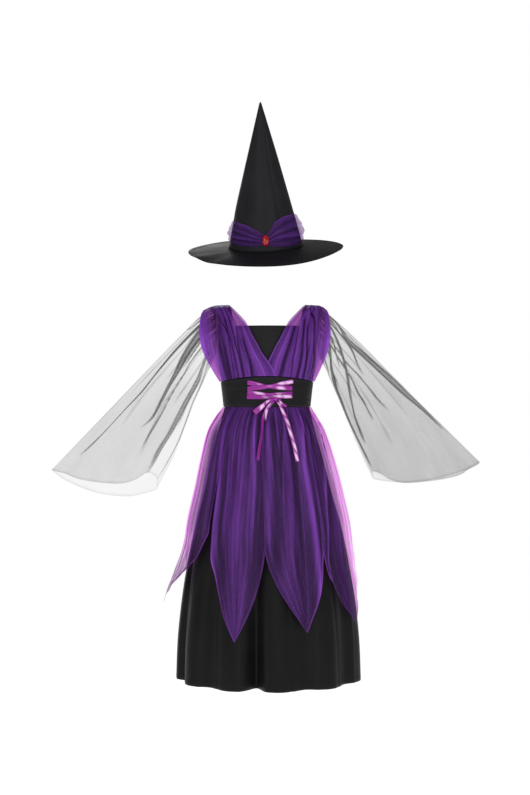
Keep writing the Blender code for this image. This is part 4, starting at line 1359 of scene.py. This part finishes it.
def drapeLine(share, front, side, lapped):
    at = share * 7
    rows = np.arange(8)
    get = lambda column: rowCurve(rows, drape[column], at)
    drop = get("drop")
    depth = -1 if front else 1
    flatten = 1.0 if front else 0.95
    lap = lapped * ease(drop, 75, 115)
    wing = drape["wingLeft"] if side < 0 else drape["wingRight"]
    points = [
        (get("neckX") - 13 * lapped * ease(drop, 105, 160), get("neckY") * flatten + 5.0 * lap, drop),
        (get("chestX"), get("chestY") * flatten + 2.0 * lap, drop),
        (get("sideX"), get("sideY") * flatten, get("sideDrop")),
        (104.5 + (get("wingX") - 104.5) * wing, get("wingY"), get("wingDrop")),
    ]
    return [np.stack([side * x, depth * (y + seam / 2), -d], axis=1) for x, y, d in points]


def addDrape(name, node, front, side, lapped):
    def surface(share, across):
        return curveThrough(drapeLine(share, front, side, lapped), across)

    def place(u, v):
        share, across = v, u
        point = surface(share, across)
        along = surface(share, np.minimum(across + 0.02, 1)) - surface(share, np.maximum(across - 0.02, 0))
        fall = surface(np.minimum(share + 0.03, 1), across) - surface(np.maximum(share - 0.03, 0), across)
        normal = np.cross(along, fall)
        normal[:, 1] = np.where(share <= 0, 0.0, normal[:, 1])
        normal[:, 2] = np.where(share >= 1, 0.0, normal[:, 2])
        normal = unit(normal)
        facing = (normal * (point - np.array([0, 0, -110]))).sum(axis=1)
        normal *= np.where(facing < 0, -1, 1)[:, None]
        pleat = sum(h * np.exp(-(((across - a) / s) ** 2)) for a, s, h in drape["pleats"])
        fade = 0.35 + 0.65 * np.sin(pi * np.clip(share, 0, 1)) ** 0.7
        fine = np.zeros_like(u)
        for start, end, spread, height, first, last in drape["fan"]:
            line = start + (end - start) * share + 0.012 * np.sin(share * 7 + start * 40)
            reach = ease(share, first - 0.1, first + 0.12) * (1 - ease(share, last - 0.1, last + 0.15))
            fine += height * np.exp(-(((across - line) / spread) ** 2)) * reach
        fine *= 0.6 * ease(across, drape["hem"], drape["hem"] + 0.05)
        dark = np.zeros_like(u)
        for stops, spread, depth in drape["valleys"][side]:
            stops = np.array(stops)
            line = rowCurve(stops[:, 0], stops[:, 1], share)
            near = np.exp(-(((across - line) / spread) ** 2)) * ease(share, stops[0, 0] - 0.01, stops[0, 0] + 0.12)
            dark = np.maximum(dark, depth * near)
            fine -= 1.5 * near * min(1, 0.02 / spread)
            fine += 0.8 * np.exp(-(((across - line - 1.9 * spread) / spread) ** 2)) * ease(share, 0.1, 0.3)
        band = 1 - ease(across, drape["hem"] - 0.012, drape["hem"] + 0.004)
        flat = ease(share, 0.0, 0.16)
        points = point + normal * ((pleat * fade + fine) * (0.3 + 0.7 * flat) - 0.3 + 0.5 * band)[:, None]
        low = share >= 1.0
        turn = np.minimum(np.abs(point[:, 0]) / 104.0, 1.0)
        foot = -(belt["topFront"] + (belt["topSide"] - belt["topFront"]) * turn * turn - 2 * seam)
        points[:, 2] = np.where(low, foot, points[:, 2])
        # the edge, the hem band's inner edge and the wing's rim are denser and painted lighter, a painted highlight
        # on the folded edges
        rim = np.exp(-(((1 - across) / 0.01) ** 2))
        lines = np.exp(-(((across - 0.006) / 0.007) ** 2)) + np.exp(-(((across - drape["hem"]) / 0.007) ** 2))
        wing = ease(across, 0.8, 0.95)
        shoulder = ease(across, 0.14, 0.3) * (1 - ease(across, 0.48, 0.6)) * (1 - ease(share, 0.3, 0.55))
        arm = np.exp(-(((across - 0.62) / 0.07) ** 2)) * ease(share, 0.03, 0.1) * (1 - ease(share, 0.55, 0.72))
        # painted light on the pleat and fold ridges, the wings and the shoulder; painted shade in the fold valleys
        # and by the armhole; the hem band a little darker
        tone = 0.44 + (0.5 * pleat * fade + 1.6 * fine) * 0.12 - 0.12 * band + 0.5 * wing - dark
        tone += 0.14 * shoulder - 0.2 * arm
        sheer = (0.2 - 0.34 * ease(share, 0.06, 0.2)) * (1 - ease(share, 0.4, 0.55)) * (1 - wing)
        dense = 0.72 + 0.08 * band + wing * (0.2 - 0.5 * ease(share, 0.6, 0.85)) - 0.3 * dark + sheer
        marks = {
            "ridge": np.clip(tone, 0, 1),
            "hem": np.clip(0.7 * lines + 0.6 * rim, 0, 1),
            "dense": dense + 0.2 * shoulder + 0.42 * arm,
        }
        return points, marks

    bm = clothGrid(150, 112, (0.16, 0.22), place)
    piece = addPiece(name, bm, bodiceOrganza, [node], (side * 60, 0, -110))
    return piece


print("drapes")
addDrape("drape_cloth_front_left", "drape_front_left", True, -1, 1.0)
addDrape("drape_cloth_front_right", "drape_front_right", True, 1, 0.0)
addDrape("drape_cloth_back_left", "drape_back_left", False, -1, 1.0)
addDrape("drape_cloth_back_right", "drape_back_right", False, 1, 0.0)


# Net sleeves

sleeves = {
    "left": {
        "topX": (115.5, 149, 205, 272, 340, 412, 473),
        "topDrop": (6.9, 29, 86, 156, 228, 302, 365),
        "lowX": (113.5, 126, 141, 160, 179, 203, 243),
        "lowDrop": (112, 138, 172, 212, 262, 322, 397),
        "depth": (32, 30, 41, 49, 55, 58, 60),
        "dip": (18, 44),
        "front": (0.1, 0.1, 0.14, 0.2, 0.23, 0.23, 0.22),
        "back": (0.09, 0.07, 0.07, 0.08, 0.08, 0.08, 0.08),
        "cutAt": (0, 14, 43, 72, 95, 109, 120, 130, 150, 180, 360),
        "cut": (0, 0.01, 0.02, 0.022, 0.025, 0.032, 0.052, 0.08, 0.06, 0, 0),
        "open": (131, 0.85),
        # rows of share, angle and half width down one fold, then how dark its edges and its middle are
        "streaks": [
            (((0, 34, 2), (0.2, 31, 1.6), (0.28, 14, 1.4), (0.37, 10, 1.2), (0.46, 9, 1)), 0.75, 0.6),
            (
                ((0, 52, 5), (0.19, 47, 5.5), (0.34, 43, 5), (0.43, 46, 4.4), (0.5, 51, 2.8), (0.56, 54, 2.4))
                + ((0.66, 48, 2.1), (0.75, 43, 1.9), (0.9, 33, 1.3)),
                1.0,
                0.8,
            ),
            (
                ((0, 66, 9), (0.22, 70, 9), (0.33, 77, 7.5), (0.42, 86, 4.5), (0.48, 90, 3.4), (0.56, 95, 2.8))
                + ((0.65, 98, 2.0), (0.74, 88, 1.4)),
                1.0,
                0.55,
            ),
            (((0, 92, 3), (0.21, 95, 2), (0.32, 96, 1.4), (0.39, 101, 1.2), (0.53, 105, 1.2), (0.62, 107, 1.2), (0.83, 106, 1)), 0.7, 0.6),
            (((0, 112, 5), (0.21, 127, 6), (0.36, 143, 9), (0.47, 145, 8), (0.6, 143, 8), (0.72, 139, 7), (0.83, 131, 5), (0.91, 132, 3), (0.95, 132, 2)), 0.6, 0.42),
            (((0, 140, 5), (0.19, 152, 5), (0.33, 164, 6), (0.46, 172, 7), (0.73, 174, 5), (0.87, 166, 3), (0.99, 162, 2)), 0.42, 0.3),
            (((0, 76, 2), (0.2, 84, 1.6), (0.3, 88, 1.2), (0.38, 92, 1)), 0.95, 0.9),
            (((0, 60, 2), (0.2, 58, 1.5), (0.3, 60, 1.2)), 0.8, 0.6),
            (((0, 20, 2), (0.18, 20, 1.5), (0.24, 17, 1)), 0.8, 0.6),
        ],
    },
    "right": {
        "topX": (115.5, 146, 200, 268, 338, 408, 468),
        "topDrop": (6.8, 31, 81, 151, 222, 290, 348),
        "lowX": (113.5, 126, 139, 158, 180, 205, 233),
        "lowDrop": (112, 134, 164, 208, 262, 318, 378),
        "depth": (31, 29, 40, 49, 55, 58, 60),
        "dip": (22, 30),
        "front": (0.28, 0.2, 0.23, 0.27, 0.3, 0.32, 0.34),
        "back": (0.1, 0.1, 0.12, 0.14, 0.15, 0.15, 0.15),
        "cutAt": (0, 8, 24, 58, 112, 133, 160, 180, 360),
        "cut": (0, 0.012, 0.007, 0, 0, 0.015, 0.045, 0, 0),
        "open": (172, 0.5),
        "streaks": [
            (
                ((0, 20, 4), (0.18, 22, 4), (0.3, 47, 9), (0.4, 41, 10), (0.52, 30, 8.5), (0.61, 26, 6))
                + ((0.7, 21, 3.6), (0.78, 20, 1.8), (0.83, 18, 1.2)),
                0.92,
                0.5,
            ),
            (((0, 38, 3), (0.2, 48, 3.5), (0.33, 62, 2.4), (0.4, 75, 1.6), (0.47, 82, 1.2)), 0.9, 0.85),
            (((0, 76, 2), (0.2, 86, 2), (0.36, 92, 1.8), (0.45, 88, 1.8), (0.56, 87, 2), (0.68, 80, 2)), 0.75, 0.55),
            (((0, 46, 4), (0.14, 54, 4), (0.21, 68, 4), (0.31, 90, 3.5), (0.41, 110, 3), (0.53, 131, 3), (0.64, 147, 2.6), (0.82, 152, 2)), 0.95, 0.8),
            (((0, 68, 3), (0.2, 95, 2.4), (0.33, 103, 2), (0.43, 105, 1.6), (0.51, 110, 1.6), (0.6, 111, 1.4), (0.7, 112, 1.2)), 0.85, 0.7),
            (((0, 92, 5), (0.17, 100, 6), (0.27, 136, 7), (0.46, 166, 8), (0.61, 168, 6), (0.75, 165, 4), (0.87, 162, 3), (0.97, 161, 2)), 0.95, 0.7),
            (((0, 28, 3), (0.15, 34, 2.6), (0.25, 50, 2)), 0.95, 0.9),
            (((0, 58, 3), (0.18, 78, 2.6), (0.28, 104, 2), (0.36, 118, 1.4)), 0.95, 0.85),
            (((0, 84, 3), (0.18, 112, 3), (0.3, 138, 2.4), (0.44, 150, 1.6)), 0.9, 0.8),
            (((0, 112, 4), (0.2, 152, 4), (0.34, 172, 3)), 0.9, 0.75),
        ],
    },
    # angle round the sleeve, spread, height
    "folds": [
        (14, 10, 5),
        (38, 9, -6),
        (64, 11, 6),
        (92, 9, -5),
        (118, 11, 5),
        (146, 10, -6),
        (204, 11, 6),
        (232, 9, -6),
        (262, 12, 6),
        (292, 9, -5),
        (322, 11, 5),
    ],
    # folds of the hidden half: angle at the armhole, at the cuff, half width, where it ends, darkness
    "backFolds": [
        (198, 204, 2.2, 0.5, 0.3),
        (221, 216, 1.8, 0.72, 0.26),
        (243, 249, 3.0, 0.6, 0.28),
        (268, 262, 2.0, 0.85, 0.26),
        (287, 294, 2.6, 0.5, 0.3),
        (309, 304, 1.8, 0.75, 0.26),
        (331, 338, 2.6, 0.62, 0.32),
        (349, 345, 2.0, 0.4, 0.3),
    ],
    "gathers": 52,
    "seed": 5,
}


def sleeveSurface(table, side, share, angle, out):
    at = share * 6
    rows = np.arange(7)
    get = lambda column: rowCurve(rows, table[column], at)
    upper = np.stack([get("topX"), 0 * share, -get("topDrop")], axis=1)
    lower = np.stack([get("lowX"), 0 * share, -get("lowDrop")], axis=1)
    turn = np.radians(angle)
    half = (upper - lower) / 2
    long = np.linalg.norm(half, axis=1)
    depth = get("depth") + out
    point = (upper + lower) / 2 + half / long[:, None] * ((long + out) * np.cos(turn))[:, None]
    point[:, 1] -= depth * np.sin(turn)
    dip = np.where(np.sin(turn) > 0, table["dip"][0], table["dip"][1])
    dip = dip * np.abs(np.sin(turn)) ** 1.4 * ease(share, 0.55, 1.0)
    point[:, 0] -= 0.12 * dip
    point[:, 2] -= dip
    point[:, 0] -= np.where(share < 0.2, 5.0 * np.abs(np.sin(turn)) * (1 - share / 0.2), 0.0)
    point[:, 0] *= side
    return point


def addSleeve(name, node, table, side):
    chance = np.random.default_rng(sleeves["seed"] + side)
    small = [
        (
            i * 360 / sleeves["gathers"] + chance.uniform(-2, 2),
            chance.uniform(1.6, 2.6),
            chance.uniform(0.5, 1.4),
            chance.choice([0.12, 0.2, 0.3, 0.45, 0.7]),
        )
        for i in range(sleeves["gathers"])
    ]

    lines = [(np.array(points, float), edges, middle) for points, edges, middle in table["streaks"]]
    for start, end, half, last, dark in sleeves["backFolds"]:
        stops = ((0, start, half), (last, start + (end - start) * last, half))
        lines.append((np.array(stops, float), dark, dark * 0.7))

    def place(u, v):
        angle = u * 360
        share = v * (1 - rowCurve(table["cutAt"], table["cut"], angle))
        shift, extra, close = np.zeros_like(u), np.zeros_like(u), np.zeros_like(u)
        for points, edges, middle in lines:
            half = rowCurve(points[:, 0], points[:, 2], share)
            away = turnApart(angle, rowCurve(points[:, 0], points[:, 1], share)) / half
            near = np.exp(-(away**2))
            fade = 1 - ease(share, points[-1, 0] - 0.12, points[-1, 0] + 0.03)
            shift -= 1.25 * np.minimum(half, 2.6) * away * near * fade * ease(share, 0.0, 0.12)
            extra += 0.35 * np.minimum(half, 5) * near * fade
            rim = edges * np.exp(-(((np.abs(away) - 0.8) / 0.45) ** 2))
            fill = middle * (1 - ease(np.abs(away), 0.7, 1.3))
            close = np.maximum(close, np.maximum(rim, fill) * fade)
        for at, spread, height, last in small:
            near = np.exp(-((turnApart(angle, at) / spread) ** 2)) * (1 - ease(share, last * 0.5, last + 0.1))
            extra += height * near
            close = np.maximum(close, 0.45 * near * (1 - ease(share, 0.12, 0.3)))
        base = foldSum(sleeves["folds"], angle) * (0.14 + 0.86 * ease(share, 0.12, 0.8))
        point = sleeveSurface(table, side, share, angle + shift, base + extra * ease(share, 0.0, 0.15) - 0.4)
        front = rowCurve(np.arange(7), table["front"], share * 6)
        back = rowCurve(np.arange(7), table["back"], share * 6)
        facing = ease(np.sin(np.radians(angle)), -0.04, 0.04)
        edge, less = table["open"]
        beyond = ease(angle, edge, edge + 5) * (1 - ease(angle, 176, 184)) * ease(share, 0.25, 0.45)
        dense = back + (front * (1 - less * beyond) - back) * facing
        hem = np.exp(-(((1 - v) / 0.007) ** 2))
        dense = np.maximum(dense, 1.35 * close) + 0.16 * hem
        return point, {"dense": np.clip(dense, 0, 1.4)}

    bm = clothGrid(300, 130, (0.62, 0.46), place, closed=True)
    piece = addPiece(name, bm, blackNet, [node], (side * 210, 0, -180))
    return piece


print("sleeves")
addSleeve("sleeve_net_left", "sleeve_left", sleeves["left"], -1)
addSleeve("sleeve_net_right", "sleeve_right", sleeves["right"], 1)


# Ribbon lacing and bow

ribbon = {
    "width": 10.0,
    "tail": 8.5,
    "wall": 0.5,
    "rise": 1.3,
    # start x, start drop, middle x, middle drop, end x, end drop, layer
    "lacing": {
        "lace_upper_under": (-42, 172.5, 6, 181.5, 54, 184.6, 0),
        "lace_upper_over": (56, 169.8, 6, 180.5, -42, 186.2, 1),
        "lace_lower_under": (-42, 194.5, 8, 198.6, 54, 196.4, 0),
        "lace_lower_over": (54, 201, 8, 203.6, -43, 203, 1),
    },
    # x, drop, out from what is behind, width, turn of the face
    "bow": {
        "bow_end_left": ((12.4, 208.6, 6.9, 5, 0), (0, 214, 9.2, 7, 10), (-12.7, 225, 9.5, 11, 10), (-27, 237, 5, 12, 5)),
        "bow_loop_left": ((14.6, 212.1, 4.9, 4, 0), (3.5, 222, 4.9, 5, 10), (-1.6, 234, 4.2, 9.5, 20), (-3.4, 253, 4, 3, 30)),
        "bow_loop_right": ((25.8, 207.8, 6.4, 5, 0), (30.5, 217, 8.9, 6, -10), (41, 223.5, 8, 5, 0)),
        "tail_left": (
            (15.4, 212.6, 2.4, 4, 0),
            (-1, 230, 1.7, 6, 10),
            (-8.5, 250, 1.6, 8.5, 45),
            (-11, 282, 3.5, 8.5, 60),
            (-15.5, 309, 3.5, 8.5, 52),
            (-18.7, 336, 4.5, 8.5, 45),
        ),
        "tail_right": (
            (20.6, 212.3, 4.6, 4, 0),
            (28, 222, 4.0, 6, 0),
            (37.5, 243, 2.5, 8.5, 5),
            (47, 270, 2.0, 8.5, -10),
            (56.6, 304, 1.5, 8.5, 8),
            (64, 339, 2.5, 8.5, 0),
        ),
    },
    # painted highlights where the satin catches the light: share along, spread, share across, strength
    "shine": {
        "lace_upper_under": ((0.74, 0.09, 0.6, 0.9), (0.3, 0.08, 0.5, 0.35)),
        "lace_upper_over": ((0.08, 0.09, 0.45, 0.95), (0.24, 0.07, 0.6, 0.8), (0.5, 0.05, 0.5, 0.2)),
        "lace_lower_under": ((0.26, 0.1, 0.4, 0.9), (0.7, 0.06, 0.5, 0.4)),
        "lace_lower_over": ((0.12, 0.1, 0.4, 0.9), (0.34, 0.09, 0.6, 0.95), (0.62, 0.05, 0.5, 0.3)),
        "bow_end_left": ((0.3, 0.1, 0.5, 0.7), (0.62, 0.12, 0.55, 0.95)),
        "bow_loop_left": ((0.3, 0.12, 0.4, 0.6), (0.75, 0.2, 0.5, 1.0)),
        "bow_loop_right": ((0.4, 0.16, 0.5, 0.8),),
        "tail_left": ((0.12, 0.05, 0.5, 0.5), (0.34, 0.04, 0.5, 0.3)),
        "tail_right": (
            (0.14, 0.06, 0.5, 0.8),
            (0.32, 0.07, 0.45, 1.0),
            (0.5, 0.05, 0.6, 0.8),
            (0.66, 0.06, 0.45, 0.95),
            (0.82, 0.05, 0.6, 0.9),
            (0.95, 0.05, 0.5, 1.0),
        ),
    },
    "knot": {"x": 18, "drop": 207.4, "out": 6.0, "half": (5.6, 2.8, 4.4)},
}


def beltLie(x, drop, out):
    width = rowCurve(body["drop"], body["width"], drop) + belt["out"] + out
    depth = rowCurve(body["drop"], body["front"], drop) + belt["out"] + out
    return np.stack([x, -depth * np.sqrt(np.maximum(1 - (x / width) ** 2, 0)), -drop], axis=-1)


def pathThrough(points, share):
    # The same curve as the cloth's, for a single line of points.
    stack = [np.repeat(np.array(p, float)[None], len(share), axis=0) for p in points]
    return curveThrough(stack, share)


def shineOn(name, u, v):
    # painted highlight patches along the ribbon, listed for each strand
    total = np.zeros_like(u)
    for along, spread, across, strength in ribbon["shine"][name]:
        slant = along + 0.1 * (u - across)
        near = np.exp(-(((v - slant) / spread) ** 4) - ((u - across) / 0.34) ** 4)
        total = np.maximum(total, strength * near)
    return total


def addStrand(name, row):
    ends = [(row[0], row[1], 0), (row[2], row[3], 0), (row[4], row[5], 0)]
    out = seam + 1.0 + row[6] * (seam + 1.2)

    def place(u, v):
        middle = pathThrough(ends, v)
        ahead = pathThrough(ends, np.minimum(v + 0.02, 1)) - pathThrough(ends, np.maximum(v - 0.02, 0))
        side = unit(np.stack([-ahead[:, 1], ahead[:, 0]], axis=1)) * ribbon["width"] / 2
        way = (u - 0.5) * 2
        narrow = 0.96 - 0.26 * np.exp(-(((v - 0.45) / 0.16) ** 2))
        square = np.where((v <= 0) | (v >= 1), 0, 1)
        x = middle[:, 0] + side[:, 0] * way * narrow * square
        drop = middle[:, 1] + side[:, 1] * way * narrow
        crown = 0.5 * (1 - way**2) + 0.25 * np.sin(v * 9 + row[6] * 2) * way
        points = beltLie(x, drop, out + crown * 0.8 - 0.3)
        edge = np.minimum(u, 1 - u)
        return points, {"hem": np.exp(-((edge / 0.08) ** 2)), "shine": shineOn(name, u, v)}

    bm = clothGrid(14, 90, (0.01, 0.1), place)
    piece = addPiece(name + "_ribbon", bm, ribbonSatin, [name], (0, 0, -195), ribbon["wall"])
    return piece


def overFront(x, drop):
    # How far forward the outer organza comes at this distance from the middle.
    angle = np.arange(-30, 31) * 1.5
    drop = np.full_like(angle, drop)
    plain = foldSum(over["folds"], angle) * (0.5 * ease(drop, 226, 250) + 0.5 * ease(drop, 250, 420))
    width, depth, _ = skirtBase(over, angle, drop)
    underWidth, underDepth, _ = skirtBase(under, angle, drop)
    below = np.maximum.reduce([underOut(angle + shift, drop) for shift in (-4, 0, 4)])
    gap = sectionReach(underWidth, underDepth, angle) - sectionReach(width, depth, angle)
    clear = 1.6 + 3.0 * ease(drop, 226, 262)
    step = 1.8 + (panels["step"] - 1.8) * ease(drop, 226, 270)
    places = skirtPlace(over, angle, drop, np.maximum(plain, gap + below + clear) + step)
    near = np.abs(places[:, 0] - x) < 7
    return min(0.0, places[near, 1].min()) if near.any() else 0.0


def addBowRibbon(name, rows):
    knot = ribbon["knot"]
    knotFront = float(beltLie(np.array(float(knot["x"])), np.array(knot["drop"]), 0.0)[1])
    centres = []
    for x, drop, out, _, _ in rows:
        back = overFront(x, drop) - 3 if drop > belt["bottom"] - 4 else knotFront
        centres.append((x, min(float(back), knotFront) - out, -drop))
    widths = [row[3] for row in rows]
    turns = [row[4] for row in rows]
    stops = np.linspace(0, 1, len(rows))

    def place(u, v):
        middle = pathThrough(centres, v)
        ahead = pathThrough(centres, np.minimum(v + 0.02, 1)) - pathThrough(centres, np.maximum(v - 0.02, 0))
        width = np.interp(v, stops, widths)
        turn = np.radians(np.interp(v, stops, turns))
        flat = unit(np.stack([-ahead[:, 2], 0 * v, ahead[:, 0]], axis=1))
        across = flat * np.cos(turn)[:, None] + np.array([0, 1, 0]) * np.sin(turn)[:, None]
        way = (u - 0.5) * width
        face = unit(np.cross(ahead, across))
        face *= np.where(face[:, 1] > 0, -1, 1)[:, None]
        gathered = 0.9 * np.exp(-((v / 0.12) ** 2))
        crown = (0.5 - 2 * (u - 0.5) ** 2) * (0.6 + gathered) + 0.5 * np.cos(u * 4 * pi) * gathered
        points = middle + across * way[:, None] + face * (crown * ribbon["rise"] * 0.5)[:, None]
        edge = np.minimum(u, 1 - u)
        return points, {"hem": np.exp(-((edge / 0.08) ** 2)), "shine": shineOn(name, u, v)}

    bm = clothGrid(14, 90, (0.01, 0.13), place)
    piece = addPiece(name + "_ribbon", bm, ribbonSatin, [name], (0, 0, -230), ribbon["wall"])
    return piece


def addKnot():
    knot = ribbon["knot"]
    bm = bmesh.new()
    bmesh.ops.create_uvsphere(bm, u_segments=40, v_segments=28, radius=1.0)
    for vert in bm.verts:  # ribbon drawn round: pinched ends and shallow folds down its face
        x, z = vert.co.x, vert.co.z
        vert.co.x *= 1 - 0.18 * abs(z) ** 2
        vert.co.y *= 1 + 0.1 * cos(x * 9)
        vert.co.z *= 1 + 0.08 * cos(x * 5)
    bmesh.ops.scale(bm, vec=Vector(knot["half"]) * mm, verts=bm.verts)
    front = float(beltLie(np.array(float(knot["x"])), np.array(knot["drop"]), 0.0)[1]) - knot["out"]
    bmesh.ops.translate(bm, vec=Vector((knot["x"], front, -knot["drop"])) * mm, verts=bm.verts)
    bm.loops.layers.uv.new("UVMap")
    return addPiece("bow_knot_ribbon", bm, ribbonSatin, ["bow_knot"])


print("ribbon")
for name, row in ribbon["lacing"].items():
    addStrand(name, row)
addKnot()
for name, rows in ribbon["bow"].items():
    addBowRibbon(name, rows)


# Floor

floorHeight, floorTone, floorGlow = light["floor"]
floor = bmesh.new()
bmesh.ops.create_grid(floor, x_segments=2, y_segments=2, size=60)
bmesh.ops.translate(floor, vec=(0, 0, floorHeight), verts=floor.verts)
floorMesh = bpy.data.meshes.new("floor")
floor.to_mesh(floorMesh)
floor.free()
floorFinish, floorTree, floorShader = newFinish("pale_floor", (floorTone, floorTone, floorTone), 0.9)
floorShader.inputs["Emission Color"].default_value = (1, 1, 1, 1)
floorShader.inputs["Emission Strength"].default_value = floorGlow
floorMesh.materials.append(floorFinish)
floorPiece = bpy.data.objects.new("floor", floorMesh)
bpy.context.scene.collection.objects.link(floorPiece)
